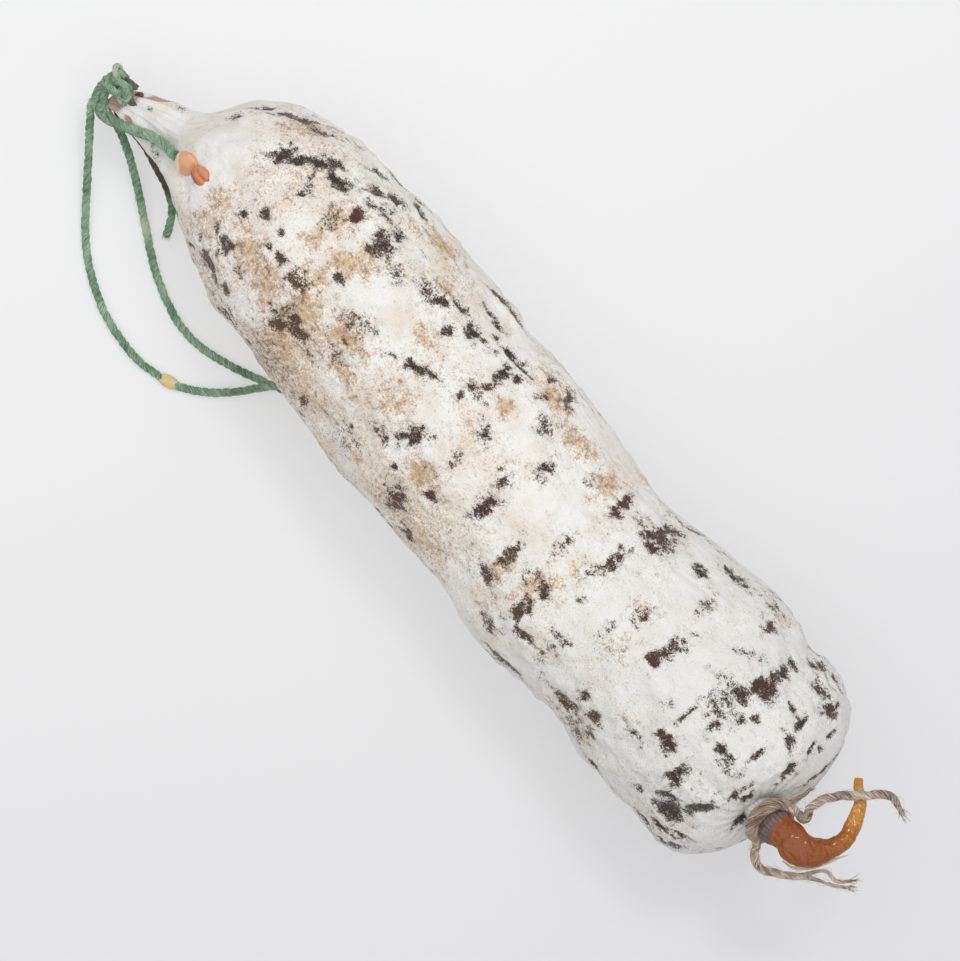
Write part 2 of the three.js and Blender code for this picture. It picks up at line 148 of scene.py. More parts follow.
# Finer relief of the mould crust and the dried skin: feature size and height in mm
CRUST_RELIEF = ((9.0, 0.7), (4.5, 0.5), (2.2, 0.3), (1.2, 0.13))
CRUST_SEED = 20
WRINKLE_SIZE = 1.5
WRINKLE_RUN = np.array((0.22, 1.0, 1.0))  # wrinkles run along the sausage
WRINKLE_HEIGHT = 0.24
WRINKLE_SEED = 31
WRINKLED_ZONE = 14.0  # size of the zones where the skin is wrinkled
WRINKLED_EDGE = (0.35, 0.7)
WRINKLED_SEED = 32
MARK_DEPTH = 0.45  # the skin lies deeper where the mould is missing
MARK_DEPTH_RISE = (0.2, 0.8)  # shares of bare skin over which it sinks

# Marks where the mould is missing, as seen from above: x, y, length, width, tilt in degrees
BLACK_MARKS = (
    (-85, 7.5, 4.6, 1.8, 55), (-81.6, 9.6, 5, 2.2, 45), (-78.2, 12.4, 6, 2.4, 40),
    (-72, 13.1, 5, 2.2, 25), (-75.8, 8, 3.4, 2, -50), (-77, 14.7, 5, 1, 12), (-75.7, 5, 1.6, 0.8, 0),
    (-95, 10.4, 4, 1, 42), (-97.5, 5, 2, 1, 60), (-66.2, 17.5, 5, 1.6, 25), (-68, 20.7, 3, 0.9, 25),
    (-61.9, 19.8, 3.6, 1.2, -8), (-66, 23.4, 8, 0.7, 8), (-56.2, 11.7, 3.6, 4.2, 0),
    (-54.6, 14.6, 2.6, 1.4, -60), (-41.7, 12, 5.6, 2.2, 8), (-37.9, 13.5, 3, 1.6, 20),
    (-35, 15.7, 4.6, 1.1, 5), (-28.6, 14.3, 3.6, 1.9, 15), (-28.3, 19.2, 5, 1.2, -8),
    (-32.9, 9.9, 3.2, 1.5, 60), (-19.6, 17, 7.2, 1.1, 0), (-23, 15.5, 2.2, 1, 60),
    (-15.6, 15, 1.8, 1, -60), (-18.2, 12.9, 2, 4.4, 0), (-20.8, 3.4, 2, 2.4, 0), (-11.3, 2.1, 3, 2.4, 20),
    (-5, 20.8, 2.4, 2.6, 0), (-10.7, 20.7, 1.2, 2, 0), (-31.2, -0.3, 5.6, 2, 18),
    (-35.6, -1.8, 2, 0.9, 10), (-57, -0.6, 2.4, 1.8, 0), (-77, -3.8, 3, 1.2, 12),
    (-80.4, -7.5, 1.6, 1.1, 0), (-72, -4.2, 1.5, 1, 0), (-68, -7.5, 3.6, 1.5, 4),
    (-71.2, -7.9, 1.1, 1, 0), (-78, -14.6, 3.6, 2.3, -12), (-81.7, -13.7, 2.2, 0.8, -10),
    (-54.3, -14.5, 7.2, 2.4, -20), (-20.8, -10.4, 5.4, 2.4, 58), (-18.6, -17.5, 2, 1, 0),
    (-5, -24.6, 3.4, 1.2, 8), (-0.8, -1.4, 2.6, 3, 0), (3.3, 7.4, 2.6, 3.8, 0), (12, -11, 2.2, 6.4, 0),
    (23, -9.7, 2.6, 2.4, 0), (22.4, -16.6, 3, 6, 8), (19.9, 12.8, 2.4, 2.6, 0), (30.6, 20, 3.4, 1.8, 0),
    (28, 14, 2.6, 1.4, 10), (41.7, 18.8, 3.4, 1.6, -25), (46.7, 24, 5, 1, -4),
    (58.8, -14.7, 3.4, 1.8, 12), (50.8, -19, 2.8, 2.2, 0), (52.5, -21.8, 2.4, 1.6, 0),
    (59.6, -25.5, 5, 0.9, 0), (69.2, 17.8, 2.8, 3.2, 0), (67, 9, 2.8, 2.6, 20), (71.4, 4.7, 1.6, 3.8, 0),
    (68.8, 0, 1.4, 2.6, 0), (63.3, -3, 0.8, 4.6, 0), (75.8, 15.3, 5, 0.8, 0), (73.8, -1.8, 3.6, 1.8, 15),
    (79.6, 2.4, 0.9, 3.4, 0), (83.2, -5.4, 1.6, 3.8, -15), (85.6, -4.4, 2.6, 1, 8),
    (82, 9.5, 4.6, 1.6, -22), (80.4, 14.5, 1.2, 2.8, 0), (86.3, 17.9, 1.2, 1.9, 0),
    (87, 14.5, 1.6, 1, -30), (85.8, 12.5, 1, 1.6, 20), (77.5, 22.4, 4, 1.9, 4), (73.8, 25.8, 3, 0.9, 10),
    (71.7, 24.5, 3, 0.9, 15), (62.5, 27, 2.4, 1, 0), (62.5, 28.7, 2.8, 0.7, 0), (68.8, 21.3, 3, 0.8, 0),
    (71.8, -13.8, 3.8, 3.4, -30), (80.4, -14.3, 2.6, 5, -15), (73.8, -17.8, 4, 1.8, 30),
    (76.7, -19.5, 5.4, 3, -20), (81.7, -20.5, 5, 0.7, 22), (79.2, -22.6, 6, 0.7, 12),
    (83.3, -23, 4, 0.8, 28), (73.8, -24.7, 4, 1, -4), (69.2, -21.3, 1.6, 0.9, 0), (91, 11.2, 1.2, 5.4, 0),
    (86.4, 5.6, 1.8, 2.4, 30),
)
GREY_MARKS = (
    (-67.5, 5.8, 3, 3, 0), (-69.2, 8.7, 1.8, 1.4, 0), (-65.2, 15, 3, 1.6, 0), (-61, 16.6, 4, 2.4, 0),
    (-49.2, 10.2, 3.6, 2.6, 0), (-47.5, 17, 2.2, 0.9, 0), (-45, 13.4, 4, 1.2, -10), (-47, -3.8, 7, 4, 0),
    (-3.8, 13.3, 4.4, 3, 0), (-10.4, -6.3, 2.6, 2.6, 0), (-29.2, -22, 5, 4, 20), (18, -0.5, 3, 4.6, 0),
    (18, -10, 3, 3, 0), (25, 15.8, 3.4, 1.6, 0), (11.2, 12.4, 2, 2.4, 0), (48, 15.3, 1.8, 4.2, 0),
    (40.8, 2.8, 2.4, 3.4, 0), (38.3, -4.3, 1.8, 4, 0), (33.3, -13.4, 4, 1.4, 12), (33, -16.3, 3, 1.5, 0),
    (34.6, -19.8, 3, 1.4, -15), (61.7, 16, 6, 1.4, 32), (63.8, 8.3, 4.6, 2, 15), (65.4, 3.7, 5.4, 4.6, 0),
    (78, -3.6, 4, 2.2, 20), (56.7, 26.2, 8, 1.3, 10), (49.6, -23.8, 5, 2, 0), (-72, -16.3, 3.8, 1.5, 5),
    (30, -4.6, 2, 1.4, 0), (59, -4.8, 1.8, 1.8, 0), (-44.6, -11.6, 4, 2.4, 0), (-25.6, -15, 4, 2, 0),
    (-105.5, -3.8, 2.6, 2.4, 0), (-110.6, -8.5, 1.4, 0.7, 0), (-103, -13.6, 4, 1.6, -15),
)
RED_MARKS = (
    (-64.6, 10.8, 2, 3.4, 0), (1.6, -8, 2.8, 4.8, 0), (27.4, 4.5, 2.6, 6.6, -6), (20.1, 15.6, 2, 3.2, 0),
    (30.4, 16.8, 4.6, 4.4, 15), (50.5, 4, 2.2, 5, -8), (64.6, -10.8, 4.2, 1.8, -18),
    (45.8, -17.3, 1.6, 1.6, 0), (68.8, 12.8, 4.2, 3.2, -40), (73, 7.8, 2, 1.5, 0),
    (82.5, 21.2, 3.8, 3, -20), (77, 26.2, 3, 1.4, 0), (60, 22.8, 2.6, 1.8, 0), (49.3, -1, 2.2, 3, 0),
    (-8.2, -15.4, 2.6, 1.4, 0), (68.4, 16.2, 2.4, 2, 0),
)
BROWN_MARKS = (
    (-89, 14.5, 9, 1.1, 18), (-20.2, 7, 3.4, 2, 0), (-61.4, -7.4, 4.6, 3, 15), (-76.2, -20, 9, 1.4, -10),
    (-70.4, -20.8, 2.6, 1.6, 0), (-64.2, -23.8, 7, 1.4, -8), (-12, -22, 6.4, 2.6, -45),
    (-41.2, -23, 1.8, 1.4, 0), (12.5, -17, 5, 1.8, -18), (27, -18.9, 6, 1.2, 8), (20.4, -23, 4, 1.8, 0),
    (30, -26, 8, 1, 0), (44.6, -21, 6.4, 1.6, -4), (-58.6, -17, 4, 3, 0), (-9, 17.2, 1.8, 1.4, 0),
    (-45.7, -8.1, 2, 1, 0), (-83, 17, 6, 0.9, 14), (-30, 23.6, 12, 0.7, 0), (10, 23.2, 9, 0.7, -3),
    (34, 23.6, 10, 0.7, 4),
)
TAN_STAINS = (
    (-56, -13, 10, 9, 0), (-46, -8, 9, 6, 0), (-42, -12.5, 12, 3, -4), (-54, -19.5, 8, 5, 0),
    (-60, -6, 5, 8, 0), (-66.7, 0, 4, 5, 0), (-59, 2.5, 6, 4, 0), (-55, 5.4, 6, 5, 0),
    (-66, -14, 7, 6, 0), (-35.4, 4.6, 4, 4, 30), (-29, -9, 6, 7, 0), (-7.5, 19.6, 8, 5, 0),
    (-12.5, 9.6, 3, 3, 0), (14.6, 15.2, 6, 5, 30), (23.4, -7, 3, 4, 20), (24.6, -1.7, 2.4, 2, 0),
    (42.5, -5.5, 5, 6, 0), (40, 4, 5, 5, 0), (60.8, 25.3, 4, 4, 0), (-55, 19, 5, 1.6, 0),
    (-24.6, -22.5, 4, 2, 0), (-48, 21, 10, 2, 0), (4, 17, 7, 4, 0), (-72, -12, 10, 7, 0),
    (-66, 8, 5, 8, 0), (-40, 16, 6, 3, 0), (-12, -14, 8, 5, 0), (13, -14, 4, 6, 0), (21, -12, 4, 9, 0),
    (50, -22, 9, 3, 0), (-85, -12, 6, 8, 0), (-86, 16, 10, 3, 16),
)
ORANGE_SPOTS = (
    (55.4, -13.6, 1.5, 1.6, 0), (-58.7, -7.9, 1.4, 2.2, 0), (-55.8, -20.4, 1.8, 1.2, -30),
    (-45.2, -8, 3, 1.6, 10), (-70, -20.4, 1.4, 1.2, 0), (4, 23.6, 1.2, 1, 0),
)
PINK_EDGES = (
    (-110.5, -4.9, 15, 1.1, 27), (-101, 0.4, 6, 0.8, 40), (-115.4, -14.6, 4.6, 2.2, 20),
    (-111.6, -13.4, 4, 1.2, 15), (-118, -13.2, 3, 3, 0),
)
WHITE_ZONES = (
    (-95, -3, 15, 8, 0), (-45, 3, 12, 7, 0), (-24, -4, 12, 7, 0), (8, 1, 9, 9, 0), (-8, 8, 8, 5, 0),
    (40, 11, 12, 7, 0), (58, 6, 6, 9, 0), (-108, -7, 10, 3, 20),
)
MARK_FADE = 0.2  # the faintest mark of a list is this much weaker than the strongest
MARK_EDGE = ((1.7, 0.75), (0.9, 0.45))  # feature size and strength of a mark's broken edge
MARK_EDGE_SEED = 51
MARK_THROUGH = 2.0  # how much deeper a mark reaches than half its length
SEEN_FACING = 0.05  # least upward share of the direction in which seen skin faces
STEEPEST = 0.42  # marks on a side are stretched as far as skin that faces up by this share

# How the lists show: the value that is raised, the marks, their level, wander of the edge, blur, growth
PAINTS = (
    ("tan", TAN_STAINS, 0.9, 0.8, 0.95, 1.3),
    ("brown", TAN_STAINS, 0.7, 0.8, 0.9, 1.5),
    ("bare", TAN_STAINS, 0.2, 0.8, 0.9, 1.35),
    *(("bare", listed, 0.27, 0.9, 0.9, 2.3) for listed in (BLACK_MARKS, RED_MARKS, BROWN_MARKS)),
    ("bare", GREY_MARKS, 0.52, 0.7, 0.9, 1.4),
    ("bare", BLACK_MARKS, 0.98, 0.9, 0.85, 1.2),
    ("bare", RED_MARKS, 1.0, 0.8, 0.8, 1.25),
    ("red", RED_MARKS, 1.0, 0.6, 0.6, 2.0),
    ("bare", BROWN_MARKS, 0.86, 0.8, 0.8, 1.25),
    ("brown", BROWN_MARKS, 1.0, 0.6, 0.6, 2.0),
    ("orange", ORANGE_SPOTS, 0.62, 0.8, 0.9, 1.0),
    ("pink", PINK_EDGES, 0.9, 0.4, 0.6, 1.0),
)
WHITE_PAINT = (1.0, 0.3, 0.8, 1.2)  # level, wander, blur, growth
CASING_VALUES = ("bare", "red", "brown", "tan", "orange", "pink", "cool")

# Where the casing changes: places along it, and across it for the low side, over which each change runs
NECK_SIDE = (15.0, -60.0)
TIED_SIDE = (45.0, 80.0)
LOW_SIDE = (-4.0, -20.0)
ON_NECK = (-92.0, -97.0)
NECK_TIP = (-113.5, -116.5)
PAST_NECK = (-98.0, -85.0)
TAN_FADE = (15.0, 40.0)
COOL_TIED = (0.0, 70.0)
COOL_NECK = (-85.0, -100.0)
STEEP_SIDES = (0.6, 0.1)  # upward shares of the direction in which the skin faces

# Shares of bare skin and of tan grains away from the marks
BARE_SHARE = {"all": -0.12, "neck": 0.12, "low": 0.1, "tied": 0.04, "patches": 0.4}
TAN_SHARE = {"all": 0.1, "neck": 0.12, "low": 0.22, "patches": 0.65}
BARE_PATCHES = (11.0, 61)  # size and seed
TAN_PATCHES = (13.0, 62)
SIDE_PATCHES = (7.0, 63)
GROOVES = (1.1, 64)
SIDE_EDGE = (0.35, 0.65)
GROOVE_EDGE = (0.5, 0.85)
SIDE_BARE = 0.1
GROOVE_BARE = 0.5
TIED_TAN_LOSS = 0.5
FAR_TAN_LOSS = 0.45
WHITE_LOSS = 0.3
NECK_LOSS = 0.35
LOW_BROWN = 0.8
SIDE_BROWN = 0.6
TIP_PINK = 0.85
TIED_COOL = 0.8
NECK_COOL = 0.3

# Marks on the sides and underside, which the photograph does not show: what, level, growth
HIDDEN_KINDS = (("bare", 0.82, 1.0), ("bare", 0.5, 1.0), ("tan", 0.5, 2.0))
HIDDEN_ODDS = (0.55, 0.15, 0.3)
HIDDEN_COUNT = 190
HIDDEN_SEED = 5
HIDDEN_FACING = 0.15
HIDDEN_FROM = -98.0
HIDDEN_LENGTH = (2.0, 6.5)
HIDDEN_WIDTH = (1.2, 3.2)
HIDDEN_TILT = 60.0
HIDDEN_EDGE = (0.6, 0.6)  # wander, blur

# The empty casing past the tie: place, half width, half thickness
WAIST_RADIUS = 3.0
HOOK_PAST_TIE = (
    (95.2, -3.3, 46.4, 3.5, 2.4), (98.4, -3.3, 47.0, 3.7, 2.0), (101.1, -1.3, 46.5, 3.2, 1.8),
    (103.1, 2.4, 45.5, 2.1, 1.6), (103.5, 5.8, 44.5, 2.0, 1.5), (102.3, 9.3, 43.5, 1.8, 1.3),
    (100.3, 12.7, 42.5, 1.4, 1.1), (97.1, 15.0, 41.5, 1.1, 0.9), (95.9, 16.2, 41.0, 0.9, 0.6),
)
# And at the tie: distance along its axis, half width, half thickness
HOOK_BELOW_TIE = ((-10.0, 3.4, 3.4), (-5.0, 3.2, 3.2), (0.0, WAIST_RADIUS, WAIST_RADIUS), (2.2, 3.9, 3.4))
HOOK_STEP = 0.13
HOOK_VALUES = ("rise", "gather", "ridge", "film", "mouldy")
HOOK_SIDES = 72
GATHERED_STATION = 5  # the last place where the folds are full
SMOOTH_STATION = 6  # the first place without folds
THIN_STATION = 10  # from here on the hook is thin and light
FOLD_COUNT = 26  # gathered folds between the twine and the smooth hook
FOLD_HEIGHT = 0.22
FOLD_REACH = (4.4, 3.0)  # heights over the tie over which the folds die out
FOLD_SWAY = 1.7
FOLD_DRIFT = 0.5  # turn of the folds in a mm of height
FOLD_WANDER = 9.0
FOLD_WANDER_SIZE = 2.2
FOLD_SEED = 49
FOLD_SMOOTHING = 0.5  # share of the wrinkles that the folds stretch flat
HOOK_WRINKLES = ((3.2, 0.2), (1.3, 0.2), (0.6, 0.16))
HOOK_WRINKLE_RUN = np.array((0.6, 1.0, 1.0))
HOOK_WRINKLE_SEED = 44
HOOK_FULL = 2.0  # half thickness from which the wrinkles have their full height
# share of the paler colour on the fold crests: partly mould bloom, partly painted shade that leaves the
# troughs darker
RIDGE_BLOOM_AND_SHADE = 0.5
MOULDY_FOOT = (0.3, -0.9)  # heights over the tie over which the mould starts
FILM_ROUTE = ((98.6, -7.4, 45.0), (101.2, -6.6, 45.2), (103.2, -4.0, 45.3), (104.7, -0.8, 45.0),
              (105.8, 2.2, 44.6), (106.6, 4.0, 44.2))
FILM_HALF = 0.5
FILM_THICK = 0.16
FILM_STEP = 0.3
FILM_SIDES = 14
FILM_TAPER = (0.25, math.pi - 0.15)  # stretch of a half wave that its width follows
FILM_WAVE = 0.3
FILM_WAVE_SIZE = 1.5
FILM_SEED = 47

# Two beads of fat that sweated out and set on the neck: x, y, half length, half width, height
FAT_BEADS = ((-95.9, -9.8, 2.7, 2.55, 1.25), (-91.5, -9.2, 2.8, 1.9, 1.15))
BEAD_SWELLS = ((0.3, 1.1, 48), (0.16, 0.45, 50))  # share, size and seed of each unevenness
BEAD_APART = 9.0  # keeps the two beads from looking alike
BEAD_GROOVE = 0.4  # the second bead has sunk along a curved line
GROOVE_PLACE = 0.05
GROOVE_BEND = 0.35
GROOVE_WIDTH = 0.28
GROOVE_TOP = (0.2, 0.7)  # shares of the bead's height over which the line shows
GROOVE_END = (0.9, 0.5)  # and of its length
BEAD_SINK = 0.4
BEAD_SIDES = 72
BEAD_VALUES = ("thick", "rim", "pale")
BEAD_RINGS = 48
BEAD_THICK = (0.3, 0.7)  # how thick the fat of each bead looks
POLE_GAP = 0.04  # angle left open at each end of a rounded lump

# The green string
STRING_DIAMETER = 2.0
STRING_PITCH = 4.8
COLLAR_DIAMETER = 2.5
COLLAR_PITCH = 13.0
GAP = 0.35
SLIM = 0.9  # thickness of a tightened strand, as a share of the string's
DARK_END_SHARE = 0.8
KNOT_CENTRE = np.array((-119.3, -10.4, 16.9))
KNOT_SCALE = np.array((1.15, 0.66, 0.9))
KNOT_TILT = math.radians(-18)
KNOT_POINTS = 400
TURN_CENTRE = np.array((-116.9, -12.4, 12.9))
TURN_RADIUS = 4.5
TURN_YAW = math.radians(24)
COLLAR_BIGHT = ((-121.9, -10.9, 16.4), (-121.9, -13.6, 13.6), (-120.7, -15.9, 11.6), (-118.7, -17.0, 11.6),
                (-116.0, -16.9, 13.4))
COLLAR_TWIN = ((-120.4, -10.9, 17.4), (-120.5, -13.2, 15.0), (-119.2, -15.1, 13.4), (-117.2, -16.0, 12.8),
               (-115.0, -16.0, 13.6))
TWIN_SHIFT = (0.6, 0.4, -0.3)
COLLAR_ON_NECK = ((-112.7, -15.5), (-109.4, -13.9), (-106.7, -12.3), (-104.1, -11.3), (-101.4, -10.8),
                  (-99.0, -10.7))
EAR = ((-120.4, -9.9, 18.0), (-121.9, -9.1, 18.6), (-122.9, -8.2, 17.8), (-122.3, -7.8, 16.6),
       (-120.6, -8.8, 16.2))
CUT_END = ((-117.6, -14.2, 8.9), (-113.5, -14.9, 8.3), (-109.5, -14.6, 8.0), (-105.4, -14.9, 7.8),
           (-101.4, -15.8, 7.3), (-97.4, -16.6, 6.7), (-94.1, -17.7, 5.8), (-92.0, -19.2, 4.8),
           (-90.3, -21.3, 3.6), (-88.9, -23.6, 2.6))
DARKER_PART = (-92.0, -98.0)  # where the cut end starts to darken and where it is darkest
CUT_END_STAIN = 0.3
DARKER_STAIN = 0.5
THIN_PART = (-94.0, -99.0)  # where it starts to be thinner and where it is thinnest
THIN_LOSS = 0.25
# a dark strand laid where the knot has a shaded hollow: painted shade
SHADE_WEDGE = ((-118.6, -10.4, 16.6), (-117.0, -10.5, 17.0), (-115.0, -10.6, 16.8), (-112.8, -10.4, 16.2))
DARK_END = ((-120.2, -9.0, 16.8), (-119.0, -8.3, 17.4), (-117.8, -8.0, 17.4), (-116.5, -7.9, 16.8))
KNOT_WRAPS = (
    ((-122.5, -11.6, 15.4), (-121.4, -10.9, 18.0), (-119.8, -10.0, 19.2), (-118.2, -9.2, 18.4),
     (-117.2, -8.9, 16.4)),
    ((-122.2, -13.2, 13.8), (-121.3, -12.6, 16.4), (-119.9, -11.9, 18.1), (-118.2, -11.7, 17.6),
     (-116.6, -12.0, 15.8)),
)
TURN_ARC = (math.radians(-25), math.radians(205))  # the turn's lower part, the upper one lies in the knot
LOOP_ROUTE = (
    (-121.5, -15.4, 11.4), (-120.6, -17.9, 9.7), (-117.6, -20.9, 8.0),
    (-113.7, -24.7, 5.6), (-109.9, -28.4, 3.6), (-105.9, -32.2, 2.2),
    (-101.9, -35.9, 1.3), (-96.8, -39.6, 1.05), (-91.7, -42.2, 1.05),
    (-86.6, -44.2, 1.05), (-81.5, -45.3, 1.05), (-76.4, -45.8, 1.05), (-71.3, -45.6, 1.05),
    (-66.2, -44.3, 1.05), (-61.1, -42.0, 1.05), (-56.5, -38.1, 1.3), (-52.9, -33.5, 2.1),
    (-50.8, -29.9, 3.0), (-48.6, -26.4, 3.4), (-45.3, -21.3, 2.4), (-41.9, -16.6, 1.3),
    (-37.6, -14.4, 1.05), (-33.5, -15.6, 1.05), (-32.0, -18.8, 1.05), (-34.4, -21.4, 1.05),
    (-39.2, -22.4, 1.05), (-44.2, -24.2, 1.05), (-48.9, -26.6, 1.05), (-54.0, -29.1, 1.05),
    (-59.1, -31.3, 1.05), (-65.2, -33.3, 1.05), (-71.3, -33.8, 1.05), (-76.4, -33.0, 1.05),
    (-81.5, -31.5, 1.05), (-86.6, -29.4, 1.05), (-91.7, -26.7, 1.2), (-96.8, -23.9, 1.8),
    (-101.8, -21.2, 3.0), (-106.7, -18.8, 4.8), (-111.6, -16.9, 6.6), (-114.9, -16.3, 7.5),
)
DRIP_CENTRE = (-64.2, -43.2, 1.3)
DRIP_HALF = (2.5, 1.5, 1.2)
DRIP_RINGS = 28
DRIP_SIDES = 32
DRIP_LUMP = 0.3
DRIP_LUMP_SIZE = 1.4
DRIP_SEED = 43
DRIP_LOWEST = 0.02
WORN_PLACE = (-93.4, -25.6, 1.4)
WORN_SPREAD = 2.6
WORN_SHARE = 0.8

# The jute twine
TWINE_DIAMETER = 2.2
TWINE_PITCH = 11.0
SHORT_END_DIAMETER = 1.76
TURN_SHARE = 1.45  # the turn round the waist holds two strands of twine
PLY_DIAMETER = 1.2
TWINE_UPPER_END = (
    (90.6, 0.4, 43.2), (92.2, 1.5, 45.0), (94.1, 1.5, 46.8), (94.7, 2.0, 47.3), (94.2, 3.1, 47.0),
    (93.6, 4.6, 46.6), (93.8, 6.6, 46.2), (94.8, 9.0, 45.9), (96.3, 11.4, 45.6), (98.2, 13.8, 45.4),
    (100.2, 16.4, 45.0), (102.0, 18.5, 44.6), (103.9, 19.0, 44.2), (106.8, 18.6, 43.6),
)
TWINE_LOWER_END = ((91.2, -8.4, 42.2), (92.7, -9.5, 41.8), (93.8, -10.9, 41.7), (96.1, -12.1, 41.8),
                   (98.5, -11.3, 42.0), (100.5, -9.7, 42.0), (102.5, -8.0, 42.0), (104.4, -5.9, 42.2))
LOOSE_YARNS = (
    ((103.6, -6.8, 42.1), (106.4, -4.5, 42.4), (109.3, -2.8, 42.6), (112.3, -0.1, 42.8)),
    ((103.9, -6.5, 42.2), (105.2, -3.2, 42.6), (106.6, -1.6, 43.2), (109.3, -1.4, 43.2), (111.4, 1.1, 43.0)),
)
TWINE_SHORT_END = ((90.2, 0.6, 42.6), (90.8, 3.0, 40.4), (91.3, 5.2, 38.8), (91.3, 7.2, 37.6))

# Plies and hairs of both kinds of string
PLY_SHARE = 0.46  # ply radius as a share of the string's diameter, for one ply
PLY_REACH = 0.48  # from the middle to the outside of the plies, in diameters
PLY_SIDES = 9
PLY_LOOSE = (0.22, 4.0, 70)  # strength, length and seed of a ply's uneven distance from the middle
PLY_WANDER = (0.7, 7.0, 80)  # of its uneven turn
PLY_SWELL = (0.2, 2.6, 90)  # and of its uneven thickness
ROPE_SEEDS = 7  # seeds that each rope takes up
FIBRE_PITCH = -2.2  # the fibres turn against the plies, in diameters
PLY_APART = 37.0  # keeps the fibres of two plies from looking alike
ROPE_APART = 100.0
FIBRE_WIDTH = 0.2  # of a ply's radius
STRING_VALUES = ("fibre_x", "fibre_y", "fibre_z", "stain", "worn")
SPAN_POINTS = 16  # points on a curve between two of the places that it goes through
OFF_STRING = (0.31, 0.17, 0.93)  # a direction that no string starts in
ROPE_STEP = 0.35
HAIR_RADIUS = 0.035
HAIR_STEPS = 4
HAIR_SIDES = 3
HAIR_ROOT = 0.42  # from the middle of the string, in diameters
HAIR_RISE = 0.45
HAIR_LENGTH = (0.5, 1.3)
HAIR_LEAN = (0.5, 1.4)
HAIR_CURL = 0.5
HAIR_CURL_TURN = 1.3
HAIR_TAPER = (1.1, 0.5)
FRAY_LENGTH = (0.45, 1.0)
FRAY_FAN = 0.25
FRAY_CURL = 0.35
FRAY_TAPER = (2.2, 0.77)  # in hair radii
LOOSE_FIBRE_SPREAD = 50.0


def linear(code):
    """Colour for a shader from an sRGB hex code."""
    parts = [int(code[i:i + 2], 16) / 255 for i in (1, 3, 5)]
    return tuple(p / 12.92 if p <= 0.04045 else ((p + 0.055) / 1.055) ** 2.4 for p in parts) + (1.0,)


def ease(value, start, end):
    """Smooth step from 0 at start to 1 at end."""
    share = np.clip((value - start) / (end - start), 0.0, 1.0)
    return share * share * (3 - 2 * share)


def turn(start, end):
    """Shortest signed turn from one angle to another."""
    return np.arctan2(np.sin(end - start), np.cos(end - start))


def unit(vectors):
    """Vectors of length 1."""
    return vectors / np.maximum(np.linalg.norm(vectors, axis=-1, keepdims=True), 1e-12)


def noise(points, size, seed):
    """Smooth noise from 0 to 1 at points in mm, with features about size across."""
    place = points / size
    cell = np.floor(place).astype(np.int64)
    part = place - cell
    part = part * part * (3 - 2 * part)
    total = np.zeros(points.shape[:-1])
    for corner in np.ndindex(2, 2, 2):
        here = cell + np.array(corner)
        mixed = np.full(here.shape[:-1], seed * HASH_SEED)
        for axis, step in enumerate(HASH_STEPS):
            mixed = mixed ^ here[..., axis] * step
        for shift, factor in HASH_ROUNDS:
            mixed = (mixed ^ mixed >> shift) * factor & HASH_LIMIT
        weight = np.prod(np.where(np.array(corner) == 1, part, 1 - part), axis=-1)
        total += weight * ((mixed >> 8 & HASH_KEPT) / HASH_KEPT)
    return total


def swing(points, size, seed):
    """Smooth noise from -0.5 to 0.5."""
    return noise(points, size, seed) - 0.5


def relief(points, layers, seed):
    """Sum of noise layers, each a feature size and a height in mm."""
    return sum(height * 2 * swing(points, size, seed + i) for i, (size, height) in enumerate(layers))


# Shape of the casing


def along_body(x, column):
    """Smooth curve through one value of the stations."""
    places, values = STATIONS[:, 0], STATIONS[:, column]
    rows = np.arange(len(places))
    before = np.maximum(rows - 1, 0)
    after = np.minimum(rows + 1, len(places) - 1)
    slopes = (values[after] - values[before]) / (places[after] - places[before])
    i = np.clip(np.searchsorted(places, x, side="right") - 1, 0, len(places) - 2)
    span = places[i + 1] - places[i]
    t = np.clip((x - places[i]) / span, 0, 1)
    start = values[i] * (2 * t ** 3 - 3 * t ** 2 + 1) + slopes[i] * span * (t ** 3 - 2 * t ** 2 + t)
    return start + values[i + 1] * (3 * t ** 2 - 2 * t ** 3) + slopes[i + 1] * span * (t ** 3 - t ** 2)


def section(x):
    """Full radius, radius with the dome, and the middle's y and z at a place along the sausage."""
    full = along_body(x, 1)
    share = np.clip((x - DOME_START) / DOME_DEPTH, 0, 1)
    radius = full * (1 - share ** DOME_POWER) ** (1 / DOME_POWER)
    return full, radius, along_body(x, 2), full + along_body(x, 3) - FLAT_DEPTH


def lump_relief(x, angle):
    """Swellings and dents left by meat and fat that dried unevenly."""
    height = np.zeros(np.broadcast(x, angle).shape)
    step = (LUMP_RANGE[1] - LUMP_RANGE[0]) / LUMP_COUNT
    for i in range(LUMP_COUNT):
        spread = LUMP_SPREAD * (1 + LUMP_SPREAD_CHANGE * math.sin(LUMP_SPREAD_CYCLE * i))
        along = x - (LUMP_RANGE[0] + (i + 0.5) * step)
        around = BODY_RADIUS * turn(i * GOLDEN_ANGLE, angle)
        distance = (along ** 2 + around ** 2) / (2 * spread ** 2)
        height += LUMP_HEIGHT * math.cos(LUMP_HEIGHT_CYCLE * i) * np.exp(-distance)
    return height


def furrow_relief(x, angle):
    """The furrow ahead of the tied end."""
    around = turn(FURROW_ANGLE, angle) / FURROW_REACH
    along = (x - FURROW_X) / FURROW_WIDTH
    return -FURROW_DEPTH * np.exp(-along ** 2 - around ** 2)


def pleat_share(x, angle):
    """Ridges of the gathered neck, coarse and fine, as a share of the radius."""
    strength = ease(x, PLEAT_FROM, PLEAT_FULL)
    sway = PLEAT_SWAY * np.sin(angle)
    ridge = 1 - 2 * np.abs(np.sin(PLEAT_COUNT * angle / 2 + sway))
    fine = 1 - 2 * np.abs(np.sin(FINE_PLEATS * angle / 2 + 2 * sway + x / FINE_PLEAT_DRIFT))
    return strength * (PLEAT_SHARE * ridge + FINE_PLEAT_SHARE * fine)


